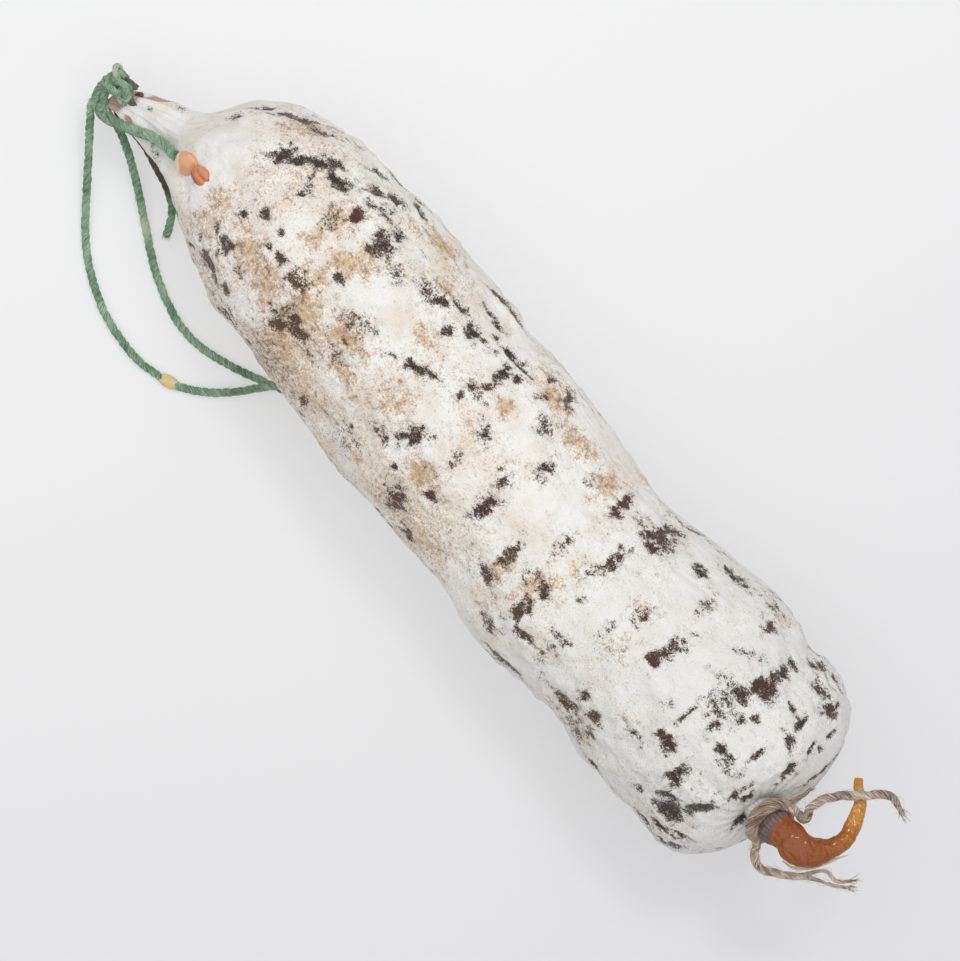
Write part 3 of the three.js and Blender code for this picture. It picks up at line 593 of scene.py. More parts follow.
def draw_in(points):
    """Pulls the skin inwards around the tie's axis, with small folds that run into it."""
    offset = points - TIE
    depth = offset @ TIE_AXIS
    away = np.sqrt(np.maximum((offset ** 2).sum(-1) - depth ** 2, 0))
    sideways = offset[..., 1]
    upwards = offset[..., 2] * TIE_AXIS[0] - offset[..., 0] * TIE_AXIS[2]
    folds = np.cos(GATHER_COUNT * np.arctan2(sideways, upwards))
    folds = GATHER_HEIGHT * folds * ease(away, *GATHER_INNER) * ease(away, *GATHER_OUTER)
    pull = TIE_DIMPLE_DEPTH * np.exp(-away ** 2 / (2 * TIE_DIMPLE_SPREAD ** 2)) - folds
    return points - TIE_AXIS * (pull * ease(depth, *TIE_DIMPLE_FADE))[..., None]


def body_rings():
    """Places of the rings along the sausage: even over the body, closing up over the dome."""
    body = np.linspace(STATIONS[0, 0], DOME_START, BODY_RINGS, endpoint=False)
    rise = np.arcsin(DOME_TIP) * np.linspace(0, 1, DOME_RINGS)
    return np.concatenate([body, DOME_START + DOME_DEPTH * np.sin(rise)])


def casing_grid():
    """Rings of points of the casing with all its relief but the marks."""
    x = body_rings()[:, None]
    angle = np.linspace(0, 2 * math.pi, SKIN_SIDES, endpoint=False)[None, :]
    full, radius, y, z = section(x)
    flat = np.zeros(angle.shape)
    out = np.stack(np.broadcast_arrays(0 * x, np.cos(angle), np.sin(angle)), axis=-1)
    middle = np.stack(np.broadcast_arrays(x + flat, y + flat, z + flat), axis=-1)
    plain = middle + radius[..., None] * out
    crust = relief(plain, CRUST_RELIEF, CRUST_SEED)
    streak = swing(plain * WRINKLE_RUN, WRINKLE_SIZE, WRINKLE_SEED)
    wrinkled = ease(noise(plain, WRINKLED_ZONE, WRINKLED_SEED), *WRINKLED_EDGE)
    crust = crust + WRINKLE_HEIGHT * (1 - 4 * np.abs(streak)) * wrinkled
    shape = radius / full * (lump_relief(x, angle) + furrow_relief(x, angle) + crust)
    reach = np.maximum(radius * (1 + pleat_share(x, angle)) + shape, 0)
    points = draw_in(middle + reach[..., None] * out)
    points[..., 2] = np.maximum(points[..., 2], 0)
    return points


def grid_normals(points):
    """Outward directions of a closed ring grid."""
    along = np.gradient(points, axis=0)
    around = np.roll(points, -1, axis=1) - np.roll(points, 1, axis=1)
    return unit(np.cross(around, along))


def seen_from_above(points):
    """Where points show in the picture, as x and y in its plane."""
    axis = np.array(CAMERA_AXIS)
    scale = CAMERA_DISTANCE / (CAMERA_DISTANCE + PICTURE_PLANE - points[..., 2:])
    return axis + (points[..., :2] - axis) * scale


def over_skin(x, y, out):
    """Place over the upper side at x and y, a distance out from the plain section, and its angle."""
    _, radius, axis, z = section(np.array(float(x)))
    reach = radius * (1 + PLEAT_SHARE * ease(x, PLEAT_FROM, PLEAT_FULL)) + out
    angle = math.acos(np.clip((y - axis) / reach, -1, 1))
    return np.array((x, axis + reach * math.cos(angle), z + reach * math.sin(angle))), angle


class Marks:
    """Paints marks on the casing's points, each with broken edges."""

    def __init__(self, points, normals):
        self.points = points.reshape(-1, 3)
        self.normals = normals.reshape(-1, 3)
        self.seen = seen_from_above(self.points)
        self.up = self.normals[:, 2] > SEEN_FACING
        self.wander = relief(self.points, MARK_EDGE, MARK_EDGE_SEED)

    def nearest(self, x, y):
        """The point that shows at x and y in the picture."""
        distance = (self.seen[:, 0] - x) ** 2 + (self.seen[:, 1] - y) ** 2
        return int(np.argmin(np.where(self.up, distance, np.inf)))

    def strength(self, index, long, wide, tilt, soft, blur):
        """How much of one mark is at each point, from 0 to 1."""
        normal = self.normals[index]
        along = unit(np.array((1.0, 0, 0)) - normal * normal[0])
        across = np.cross(normal, along)
        offset = self.points - self.points[index]
        cos, sin = math.cos(math.radians(tilt)), math.sin(math.radians(tilt))
        u = offset @ (cos * along + sin * across) / (0.5 * long)
        v = offset @ (cos * across - sin * along) / (0.5 * wide)
        w = offset @ normal / (0.5 * max(long, wide) + MARK_THROUGH)
        return ease(np.sqrt(u * u + v * v + w * w) + self.wander * soft, 1.0 + blur, 1.0 - blur)

    def paint(self, layer, marks, level, soft, blur, grow):
        """A layer raised to a level inside the marks listed as seen from above."""
        for number, (x, y, long, wide, tilt) in enumerate(marks):
            index = self.nearest(x, y)
            worn = 1 - MARK_FADE * (number * GOLDEN_ANGLE % 1)
            slant = max(STEEPEST, self.normals[index, 2])
            found = self.strength(index, grow * long, grow * wide / slant, tilt, soft, blur)
            layer = np.maximum(layer, level * worn * found)
        return layer

    def scatter(self, layers):
        """Marks of all kinds on the parts that the picture does not show."""
        draw = np.random.default_rng(HIDDEN_SEED)
        turned_away = self.normals[:, 2] < HIDDEN_FACING
        hidden = np.flatnonzero(turned_away & (self.points[:, 0] > HIDDEN_FROM))
        for _ in range(HIDDEN_COUNT):
            index = int(hidden[draw.integers(len(hidden))])
            name, level, grow = HIDDEN_KINDS[draw.choice(len(HIDDEN_KINDS), p=HIDDEN_ODDS)]
            long = grow * draw.uniform(*HIDDEN_LENGTH)
            wide = grow * draw.uniform(*HIDDEN_WIDTH)
            tilt = draw.uniform(-HIDDEN_TILT, HIDDEN_TILT)
            found = self.strength(index, long, wide, tilt, *HIDDEN_EDGE)
            layers[name] = np.maximum(layers[name], level * found)


def casing_values(points, normals):
    """What the casing's material reads at each point: bare skin, red, brown, tan, orange, pink, cool."""
    marks = Marks(points, normals)
    flat = marks.points
    x = flat[:, 0]
    layer = {name: np.zeros(len(flat)) for name in CASING_VALUES}
    neck, tied, low = ease(x, *NECK_SIDE), ease(x, *TIED_SIDE), ease(flat[:, 1], *LOW_SIDE)
    layer["bare"] += BARE_SHARE["all"] + BARE_SHARE["neck"] * neck
    layer["bare"] += BARE_SHARE["low"] * low + BARE_SHARE["tied"] * tied
    layer["bare"] += BARE_SHARE["patches"] * swing(flat, *BARE_PATCHES)
    layer["tan"] += TAN_SHARE["all"] + TAN_SHARE["neck"] * neck
    layer["tan"] += TAN_SHARE["low"] * low * (1 - TIED_TAN_LOSS * tied)
    layer["tan"] += TAN_SHARE["patches"] * swing(flat, *TAN_PATCHES)
    # Past the neck, skin that faces sideways gets more bare skin, in patches and in lengthwise grooves
    side = ease(np.abs(marks.normals[:, 2]), *STEEP_SIDES) * ease(x, *PAST_NECK)
    grooved = SIDE_BARE + GROOVE_BARE * ease(noise(flat * WRINKLE_RUN, *GROOVES), *GROOVE_EDGE)
    layer["bare"] += side * ease(noise(flat, *SIDE_PATCHES), *SIDE_EDGE) * grooved
    white = marks.paint(np.zeros(len(flat)), WHITE_ZONES, *WHITE_PAINT)
    for name in ("bare", "tan"):
        layer[name] -= WHITE_LOSS * white + NECK_LOSS * ease(x, *ON_NECK)
    for name, *paint in PAINTS:
        layer[name] = marks.paint(layer[name], *paint)
    layer["tan"] *= 1 - FAR_TAN_LOSS * ease(x, *TAN_FADE)
    # Near the neck, the low side and skin that faces sideways turn browner
    layer["brown"] = np.maximum(layer["brown"], neck * (LOW_BROWN * low + SIDE_BROWN * side))
    layer["pink"] = np.maximum(layer["pink"], TIP_PINK * ease(x, *NECK_TIP))
    marks.scatter(layer)
    layer["cool"] += TIED_COOL * ease(x, *COOL_TIED) + NECK_COOL * ease(x, *COOL_NECK)
    return layer


# Meshes


class Build:
    """Points, faces and surface values gathered for one mesh, in mm."""

    def __init__(self, *names):
        self.points, self.faces, self.count = [], [], 0
        self.values = {name: [] for name in names}

    def add(self, points, faces, **values):
        """Adds points with their faces. Each value is one number, or one per point."""
        self.points.append(points)
        self.faces.extend([tuple(int(i) + self.count for i in face) for face in faces])
        self.count += len(points)
        for name, rows in self.values.items():
            rows.append(np.broadcast_to(np.asarray(values.get(name, 0.0), float), (len(points),)))

    def tube(self, rings, **values):
        """Adds rings of points joined side by side and closed at both ends."""
        count, sides = rings.shape[:2]
        ring, side = np.meshgrid(np.arange(count - 1), np.arange(sides), indexing="ij")
        here, after = ring * sides + side, ring * sides + (side + 1) % sides
        quads = np.stack([here, after, after + sides, here + sides], axis=-1).reshape(-1, 4)
        ends = [tuple(range(sides))[::-1], tuple(range((count - 1) * sides, count * sides))]
        self.add(rings.reshape(-1, 3), quads.tolist() + ends, **values)


def make_piece(name, build, material, node):
    """A smooth mesh object that rides on the part and stands for a solid."""
    mesh = bpy.data.meshes.new(name)
    points = np.concatenate(build.points) * MM
    mesh.from_pydata(points.tolist(), [], build.faces)
    for key, rows in build.values.items():
        layer = mesh.attributes.new(key, "FLOAT", "POINT")
        layer.data.foreach_set("value", np.concatenate(rows).astype(np.float32))
    mesh.shade_smooth()
    mesh.materials.append(material)
    piece = bpy.data.objects.new(name, mesh)
    bpy.context.scene.collection.objects.link(piece)
    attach(piece, BODY)
    if node:
        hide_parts(node)
    return piece


# Strings


def smooth_path(places, step):
    """Points at even steps on the smooth curve through a row of places."""
    places = np.asarray(places, float)
    ends = 2 * places[0] - places[1], 2 * places[-1] - places[-2]
    held = np.vstack([ends[0], places, ends[1]])
    t = np.linspace(0, 1, SPAN_POINTS, endpoint=False)[:, None]
    spans = []
    for a, b, c, d in zip(held, held[1:], held[2:], held[3:]):
        leave, arrive = 0.5 * (c - a), 0.5 * (d - b)
        bend = (2 * b - 2 * c + leave + arrive) * t ** 3 + (-3 * b + 3 * c - 2 * leave - arrive) * t ** 2
        spans.append(bend + leave * t + b)
    return even_steps(np.vstack(spans + [places[-1:]]), step)


def even_steps(points, step):
    """The same line with points at even steps."""
    length = np.concatenate([[0], np.cumsum(np.linalg.norm(np.diff(points, axis=0), axis=1))])
    marks = np.linspace(0, length[-1], max(3, round(length[-1] / step) + 1))
    return np.stack([np.interp(marks, length, points[:, k]) for k in range(3)], axis=1)


def path_frames(points):
    """Two directions square to the line at each point, carried along it without twist."""
    ahead = unit(np.gradient(points, axis=0))
    side = unit(np.cross(ahead[0], OFF_STRING))
    sides = []
    for forward in ahead:
        side = unit(side - forward * (side @ forward))
        sides.append(side)
    sides = np.array(sides)
    return sides, np.cross(ahead, sides)


def round_rings(points, radius, count):
    """Rings of points around a line, with one radius or one for each point."""
    side, over = path_frames(points)
    angle = np.linspace(0, 2 * math.pi, count, endpoint=False)
    radius = np.broadcast_to(np.asarray(radius, float), (len(points),))
    circle = np.cos(angle)[None, :, None] * side[:, None] + np.sin(angle)[None, :, None] * over[:, None]
    return points[:, None] + radius[:, None, None] * circle


def fibre_values(along, sides, pitch):
    """Values that run with the fibres of a ply: two around it and one along it."""
    around = np.linspace(0, 2 * math.pi, sides, endpoint=False)[None, :]
    angle = around + 2 * math.pi * along[:, None] / pitch
    lengths = np.repeat(along[:, None], sides, axis=1)
    return {"fibre_x": np.cos(angle).ravel(), "fibre_y": np.sin(angle).ravel(), "fibre_z": lengths.ravel()}


def add_rope(build, points, diameter, pitch, swell=1.0, plies=3, seed=0, **values):
    """Twisted plies along a line, thickened by swell, with values for all or each of its points."""
    along = np.concatenate([[0], np.cumsum(np.linalg.norm(np.diff(points, axis=0), axis=1))])
    side, over = path_frames(points)
    swell = np.broadcast_to(np.asarray(swell, float), (len(points),))
    run = np.stack([along, 0 * along, 0 * along], axis=1)
    spread = {key: np.repeat(np.broadcast_to(row, len(points)), PLY_SIDES) for key, row in values.items()}
    share = PLY_SHARE / math.sqrt(plies)
    for ply in range(plies):
        loose, wander, thicker = (strength * swing(run, length, first + ply + ROPE_SEEDS * seed)
                                  for strength, length, first in (PLY_LOOSE, PLY_WANDER, PLY_SWELL))
        angle = 2 * math.pi * (ply / plies + along / pitch) + wander
        offset = (PLY_REACH - share) * diameter * swell * (1 + loose)
        line = points + offset[:, None] * (np.cos(angle)[:, None] * side + np.sin(angle)[:, None] * over)
        rings = round_rings(line, share * diameter * swell * (1 + thicker), PLY_SIDES)
        fibres = fibre_values(along + PLY_APART * ply + ROPE_APART * seed, PLY_SIDES, FIBRE_PITCH * diameter)
        build.tube(rings, **fibres, **spread)


def add_hairs(build, points, diameter, count, reach, seed):
    """Loose fibres that stand off a line of string."""
    draw = np.random.default_rng(seed)
    side, over = path_frames(points)
    ahead = unit(np.gradient(points, axis=0))
    t = np.linspace(0, 1, HAIR_STEPS)[:, None]
    thick = HAIR_RADIUS * np.linspace(*HAIR_TAPER, HAIR_STEPS)
    for _ in range(count):
        i = int(draw.integers(1, len(points) - 1))
        angle = draw.uniform(0, 2 * math.pi)
        out, sway = (math.cos(a) * side[i] + math.sin(a) * over[i] for a in (angle, angle + HAIR_CURL_TURN))
        long = reach * draw.uniform(*HAIR_LENGTH)
        lean = draw.choice((-1, 1)) * draw.uniform(*HAIR_LEAN)
        curl = draw.uniform(-HAIR_CURL, HAIR_CURL)
        start = points[i] + HAIR_ROOT * diameter * out
        line = start + long * (t * (HAIR_RISE * out + lean * ahead[i]) + t ** 2 * curl * sway)
        line[:, 2] = np.maximum(line[:, 2], 2 * HAIR_RADIUS)
        build.tube(round_rings(line, thick, HAIR_SIDES), fibre_z=draw.uniform(0, LOOSE_FIBRE_SPREAD))


def add_fray(build, points, spread, count, long, seed, **values):
    """Fibres that fan out past the end of a line."""
    draw = np.random.default_rng(seed)
    side, over = path_frames(points)
    ahead = unit(points[-1] - points[-3])
    t = np.linspace(0, 1, HAIR_STEPS + 1)[:, None]
    thick = HAIR_RADIUS * np.linspace(*FRAY_TAPER, HAIR_STEPS + 1)
    for _ in range(count):
        a, b = draw.uniform(-1, 1, 2)
        aside = a * side[-1] + b * over[-1]
        far = long * draw.uniform(*FRAY_LENGTH)
        curl = draw.uniform(-FRAY_CURL, FRAY_CURL, 3)
        start = points[-2] + 0.5 * spread * aside
        line = start + far * (t * (ahead + FRAY_FAN * aside) + t ** 2 * curl)
        rings = round_rings(line, thick, HAIR_SIDES + 1)
        build.tube(rings, fibre_z=draw.uniform(0, LOOSE_FIBRE_SPREAD), **values)


def ring_path(centre, axis, radius, step, arc=(0.0, 2 * math.pi)):
    """Points of a turn around an axis, from the side of it by way of its underside."""
    across = unit(np.cross(axis, UP))
    over = np.cross(axis, across)
    angle = np.linspace(*arc, round((arc[1] - arc[0]) * radius / step))[:, None]
    return centre + radius * (np.cos(angle) * across + np.sin(angle) * over)


def knot_path(step):
    """The overhand knot's closed curve."""
    t = np.linspace(0, 2 * math.pi, KNOT_POINTS)
    reach = 2 + np.cos(3 * t)
    place = np.stack([reach * np.cos(2 * t), reach * np.sin(2 * t), np.sin(3 * t)], axis=1) * KNOT_SCALE
    cos, sin = math.cos(KNOT_TILT), math.sin(KNOT_TILT)
    return even_steps(KNOT_CENTRE + place @ np.array(((cos, sin, 0), (-sin, cos, 0), (0, 0, 1))), step)


# Shaders


def add_node(tree, kind, inputs=None, **settings):
    """Adds a shader node, sets its properties, and sets or links its inputs by name or number."""
    made = tree.nodes.new(kind)
    for key, value in settings.items():
        setattr(made, key, value)
    for key, value in (inputs or {}).items():
        socket = made.inputs[key]
        if isinstance(value, bpy.types.NodeSocket):
            tree.links.new(value, socket)
        else:
            socket.default_value = value
    return made


def pattern(tree, size, detail, roughness=0.6, stretch=(1, 1, 1), shift=(0, 0, 0)):
    """Noise over the object with features about size mm across, stretched or shifted where asked."""
    place = add_node(tree, "ShaderNodeTexCoord").outputs["Object"]
    moved = add_node(tree, "ShaderNodeVectorMath", {0: place, 1: stretch, 2: shift}, operation="MULTIPLY_ADD")
    inputs = {"Vector": moved.outputs[0], "Scale": 1 / (size * MM), "Detail": detail, "Roughness": roughness}
    return add_node(tree, "ShaderNodeTexNoise", inputs).outputs["Fac"]


def stirred(tree, value, *layers):
    """A value with noise layers added to it, each a noise and its swing."""
    for layer, reach in layers:
        middle = add_node(tree, "ShaderNodeMath", {0: layer, 1: 0.5}, operation="SUBTRACT").outputs[0]
        inputs = {0: middle, 1: reach, 2: value}
        value = add_node(tree, "ShaderNodeMath", inputs, operation="MULTIPLY_ADD").outputs[0]
    return value


def mask(tree, value, limits, *layers, span=(0.0, 1.0)):
    """Smooth change over a span while a value, stirred by noise layers, goes from one limit to the other."""
    inputs = {0: stirred(tree, value, *layers), 1: limits[0], 2: limits[1], 3: span[0], 4: span[1]}
    return add_node(tree, "ShaderNodeMapRange", inputs, interpolation_type="SMOOTHSTEP").outputs[0]


def overlay(tree, colour, *layers):
    """A colour with others laid over it, each with the share of it that shows."""
    for share, over in layers:
        inputs = {0: share, 6: colour, 7: over}
        colour = add_node(tree, "ShaderNodeMix", inputs, data_type="RGBA").outputs[2]
    return colour


def new_material(name, kept=()):
    """A material, its empty node tree, and the numbers that it reads from the mesh's points, by name."""
    material = bpy.data.materials.new(name)
    material.use_nodes = True
    tree = material.node_tree
    tree.nodes.clear()
    values = {key: add_node(tree, "ShaderNodeAttribute", attribute_name=key).outputs["Fac"] for key in kept}
    return material, tree, values


def set_surface(tree, inputs, height=None, depth=0.0):
    """Ends a material with its surface, and with fine relief of a depth in mm where it has some."""
    if height is not None:
        fine = {"Height": height, "Distance": depth * MM, "Strength": 1.0}
        inputs["Normal"] = add_node(tree, "ShaderNodeBump", fine).outputs[0]
    surface = add_node(tree, "ShaderNodeBsdfPrincipled", inputs)
    add_node(tree, "ShaderNodeOutputMaterial", {"Surface": surface.outputs[0]})


def mould_casing(look):
    """Casing dried under a bloom of mould: matt powdery white, broken by dark bare skin and tan grains."""
    material, tree, kept = new_material("mould bloom grown on dried casing", CASING_VALUES)
    grain = pattern(tree, 0.34, 2)
    fleck = pattern(tree, 1.2, 4, 0.7)
    patch = pattern(tree, 8.0, 4)
    dust = pattern(tree, 0.42, 2, shift=(0.31, 0.17, 0.23))
    vein = pattern(tree, 1.9, 3, 0.65, stretch=(0.6, 1.0, 1.0))
    # Unmarked mould is broken up less than the marks and their edges
    broken = stirred(tree, 0.0, (fleck, 1.5), (grain, 1.6), (vein, 1.1))
    gain = mask(tree, kept["bare"], (-0.1, 0.28), span=(0.3, 1.0))
    inputs = {0: broken, 1: gain, 2: kept["bare"]}
    level = add_node(tree, "ShaderNodeMath", inputs, operation="MULTIPLY_ADD").outputs[0]
    bare = mask(tree, level, (0.38, 0.66))
    # The mould, from white to stained, and thin or pink where the skin shows through it
    older = mask(tree, patch, (0.4, 0.68))
    tan = mask(tree, kept["tan"], (0.2, 0.9), (fleck, 0.8), (dust, 2.0), (patch, 0.6), span=(0.0, 0.9))
    stained = overlay(tree, look.tan, (mask(tree, fleck, (0.42, 0.66)), look.rust))
    thin = mask(tree, level, (0.02, 0.48), span=(0.0, 0.5))
    pink = mask(tree, kept["pink"], (0.35, 0.75), (grain, 0.9), span=(0.0, 0.85))
    mould = overlay(tree, look.mould, (older, look.cream), (kept["cool"], look.cool), (tan, stained),
                    (thin, look.thin_mould), (pink, look.pink))
    # The bare skin
    dark = mask(tree, level, (0.42, 0.95), (dust, 1.6))
    brown = mask(tree, fleck, (0.3, 0.62), span=(0.0, kept["brown"]))
    red = mask(tree, vein, (0.38, 0.58), span=(0.0, kept["red"]))
    skin = overlay(tree, look.skin_thin, (dark, look.skin), (brown, look.skin_brown), (red, look.skin_red))
    orange = mask(tree, kept["orange"], (0.4, 0.75), (grain, 1.5))
    height = stirred(tree, 0.0, (bare, -0.7), (fleck, 1.0), (grain, 0.8), (patch, 0.8))
    set_surface(tree, {
        "Base Color": overlay(tree, mould, (bare, skin), (orange, look.orange)),
        "Roughness": mask(tree, bare, (0.0, 1.0), span=(0.93, 0.58)),
        "IOR": 1.45,
        "Sheen Weight": 0.15,
        "Sheen Roughness": 0.6,
    }, height, 0.26)
    return material


def string_material(name, light, shade, stained, worn, streak, contrast):
    """Twisted fibres: matt, lit along each fibre and dark between them. Streaks are streak mm long."""
    material, tree, kept = new_material(name, STRING_VALUES)
    inputs = {axis: kept["fibre_" + axis.lower()] for axis in "XYZ"}
    run = add_node(tree, "ShaderNodeCombineXYZ", inputs).outputs[0]
    inputs = {0: run, 1: (FIBRE_WIDTH, FIBRE_WIDTH, streak)}
    run = add_node(tree, "ShaderNodeVectorMath", inputs, operation="DIVIDE").outputs[0]
    fibres = add_node(tree, "ShaderNodeTexNoise", {"Vector": run, "Scale": 1.0, "Detail": 3.0}).outputs["Fac"]
    blotch = pattern(tree, 5.0, 3)
    lit = mask(tree, fibres, (0.5 - contrast, 0.5 + contrast), (blotch, 0.5))
    # the stain value darkens the string: real stain on some strands, painted shade on the wedge and on the
    # turn's end in the knot
    darkened = mask(tree, kept["stain"], (0.3, 0.7), (blotch, 0.6), (fibres, 0.6))
    rubbed = mask(tree, kept["worn"], (0.35, 0.75), (fibres, 0.7))
    colour = overlay(tree, shade, (lit, light), (darkened, stained), (rubbed, worn))
    inputs = {"Base Color": colour, "Roughness": 0.85, "IOR": 1.53, "Sheen Weight": 0.25}
    set_surface(tree, inputs, fibres, 0.2)
    return material


def green_cotton(look):
    """Green cotton string: soft matt fibres with darker gaps between its plies."""
    colours = (look.green, look.green_shade, look.string_stain_and_shade, look.string_worn)
    return string_material("twisted green cotton", *colours, streak=1.2, contrast=0.16)


def jute_fibre(look):
    """Jute twine: coarse dry fibres from pale straw to brown."""
    colours = (look.jute, look.jute_shade, look.jute_stain, look.jute_worn)
    return string_material("twisted jute", *colours, streak=3.5, contrast=0.14)


def amber_casing(look):
    """Empty casing dried hard: glossy amber that light sinks into, grey and folded at the twine, with painted
    glints on its thin part and lighter flecks that are partly painted sparkle.
    """
    material, tree, kept = new_material("empty casing dried to amber", HOOK_VALUES)
    streaks = pattern(tree, 2.4, 4)
    grain = pattern(tree, 0.5, 3)
    rise = kept["rise"]
    middle = mask(tree, rise, (0.15, 0.55), (streaks, 0.8))
    thin = mask(tree, rise, (0.6, 1.0), (streaks, 0.7))
    # lighter flecks: partly the amber's own grain, partly painted sparkle
    grains = mask(tree, grain, (0.5, 0.72), span=(0.0, mask(tree, rise, (0.0, 0.7), span=(0.15, 0.6))))
    # painted glints: pale gold specks on the thin part that stand in for highlights
    glint = mask(tree, rise, (1.05, 1.4), (grain, 2.4), (streaks, 1.4), span=(0.0, 0.7))
    amber = overlay(tree, look.amber_deep, (middle, look.amber), (thin, look.amber_light),
                    (grains, look.amber_light), (glint, look.amber_painted_glint))
    # fold crests paler and troughs darker: partly bloom on the crests, partly painted shade in the troughs
    ridge = mask(tree, kept["ridge"], (0.3, 0.8), (grain, 1.0))
    folds = overlay(tree, look.gather, (ridge, look.crest_bloom_and_light))
    gather = mask(tree, kept["gather"], (0.35, 0.65), (streaks, 0.5), (grain, 0.4))
    colour = overlay(tree, amber, (gather, folds), (kept["mouldy"], look.cool), (kept["film"], look.film))
    set_surface(tree, {
        "Base Color": colour,
        "Roughness": mask(tree, gather, (0.0, 1.0), span=(0.28, 0.75)),
        "IOR": 1.42,
        "Coat Weight": 0.5,
        "Coat Roughness": 0.06,
        "Subsurface Weight": 0.1,
        "Subsurface Radius": (1.0, 0.55, 0.2),
        "Subsurface Scale": 1.0 * MM,
    }, stirred(tree, grain, (streaks, 1.2)), 0.42)
    return material


def set_fat(look):
    """Fat that sweated out and set: soft waxy peach that light sinks into, orange where it is thick."""
    material, tree, kept = new_material("rendered fat set on casing", BEAD_VALUES)
    cloud = pattern(tree, 1.6, 3)
    thick = mask(tree, kept["thick"], (0.2, 0.8), (cloud, 0.5))
    rim = mask(tree, kept["rim"], (0.35, 0.8), (cloud, 0.6))
    pale = mask(tree, kept["pale"], (0.35, 0.85), (cloud, 0.6))
    colour = overlay(tree, look.fat, (thick, look.fat_orange), (rim, look.fat_rim), (pale, look.fat_pale))
    set_surface(tree, {
        "Base Color": colour,
        "Roughness": 0.42,
        "IOR": 1.46,
        "Subsurface Weight": 0.4,
        "Subsurface Radius": (1.0, 0.5, 0.3),
        "Subsurface Scale": 1.0 * MM,
        "Coat Weight": 0.2,
        "Coat Roughness": 0.25,
    }, cloud, 0.2)
    return material


def dried_drip(look):
    """A drip of brine dried on the string: dull yellow crust with pale grains."""
    material, tree, _ = new_material("dried brine drip")
    cloud = pattern(tree, 1.1, 3)
    colour = overlay(tree, look.drip, (mask(tree, cloud, (0.4, 0.7)), look.jute_worn))
    set_surface(tree, {"Base Color": colour, "Roughness": 0.6}, cloud, 0.25)
    return material


def painted_glow_board(look):
    """Matt acrylic board with painted light: pale grey, glowing by emission so that its shadows are weak, and
    painted darker away from the lamp.
    """
    material, tree, _ = new_material("matt acrylic board with painted glow and painted falloff")
    inputs = {0: add_node(tree, "ShaderNodeTexCoord").outputs["Object"], 1: FLOOR_SLOPE}
    away = add_node(tree, "ShaderNodeVectorMath", inputs, operation="DOT_PRODUCT").outputs["Value"]
    mottle = pattern(tree, MOTTLE_SIZE, 2)
    # painted falloff: the floor's colour darkens away from the lamp
    far = mask(tree, away, (-FLOOR_FADE * MM, FLOOR_FADE * MM), (mottle, MOTTLE_SHIFT * MM))
    colour = overlay(tree, look.floor, (far, look.floor_painted_falloff))
    set_surface(tree, {
        # painted glow: part of the floor's light is emission from the board itself, not from a lamp
        "Base Color": overlay(tree, colour, (FLOOR_PAINTED_GLOW, BLACK)),
        "Emission Color": colour,
        "Emission Strength": FLOOR_PAINTED_GLOW,
        "Roughness": 0.9,
    })
    return material


# Settings that a user would change


def colour_setting(name, description, code):
    """A colour setting with its default as an sRGB hex code."""
    return bpy.props.FloatVectorProperty(
        name=name, description=description, subtype="COLOR", size=4, min=0, max=1, default=linear(code))


class SausageLooks(bpy.types.PropertyGroup):
    """Colours of the casing, its hook and its fat."""

    mould: colour_setting("Mould", "Powdery mould", "#FBF9F5")
    cream: colour_setting("Cream mould", "Older mould", "#F1E9DD")
    cool: colour_setting("Cool mould", "Fresh mould at the tied end", "#ECECEA")
    thin_mould: colour_setting("Thin mould", "Mould through which the skin shows", "#B4ABA2")
    tan: colour_setting("Tan grains", "Grains stained by the meat", "#DBB985")
    rust: colour_setting("Rust grains", "Grains stained most", "#AE773B")
    pink: colour_setting("Pink skin", "Thin bare skin at the neck", "#B98A7B")
    skin: colour_setting("Bare skin", "Dark skin without mould", "#2A1E19")
    skin_thin: colour_setting("Dusted skin", "Skin under thin mould", "#7B695D")
    skin_red: colour_setting("Red skin", "Skin over lean meat", "#52231F")
    skin_brown: colour_setting("Brown skin", "Skin over fat", "#5E4028")
    orange: colour_setting("Orange spot", "Spots of paprika fat", "#D58049")
    amber_deep: colour_setting("Deep amber", "Hook at its root", "#93490A")
    amber: colour_setting("Amber", "Middle of the hook", "#A35C12")
    amber_light: colour_setting("Light amber", "Hook where it is thin", "#CB8526")
    # colour of the painted glints on the thin part of the hook, which stand in for highlights
    amber_painted_glint: colour_setting("Pale amber", "Flakes on the thin part of the hook", "#E8C688")
    gather: colour_setting("Gathered casing", "Folds above the twine", "#735F59")
    # colour of the fold crests: partly mould bloom, partly painted light against the darker troughs
    crest_bloom_and_light: colour_setting("Bloomed folds", "Mould on the folds", "#A89C95")
    film: colour_setting("Film", "Thin edge of dried casing", "#D3C8B4")
    fat: colour_setting("Fat", "Thin set fat", "#DFAA82")
    fat_orange: colour_setting("Orange fat", "Thick set fat", "#CC7E54")
    fat_rim: colour_setting("Fat rim", "Edge of the set fat", "#9A5A3A")
    fat_pale: colour_setting("Pale fat", "Cream edge of the set fat", "#EFD9B8")


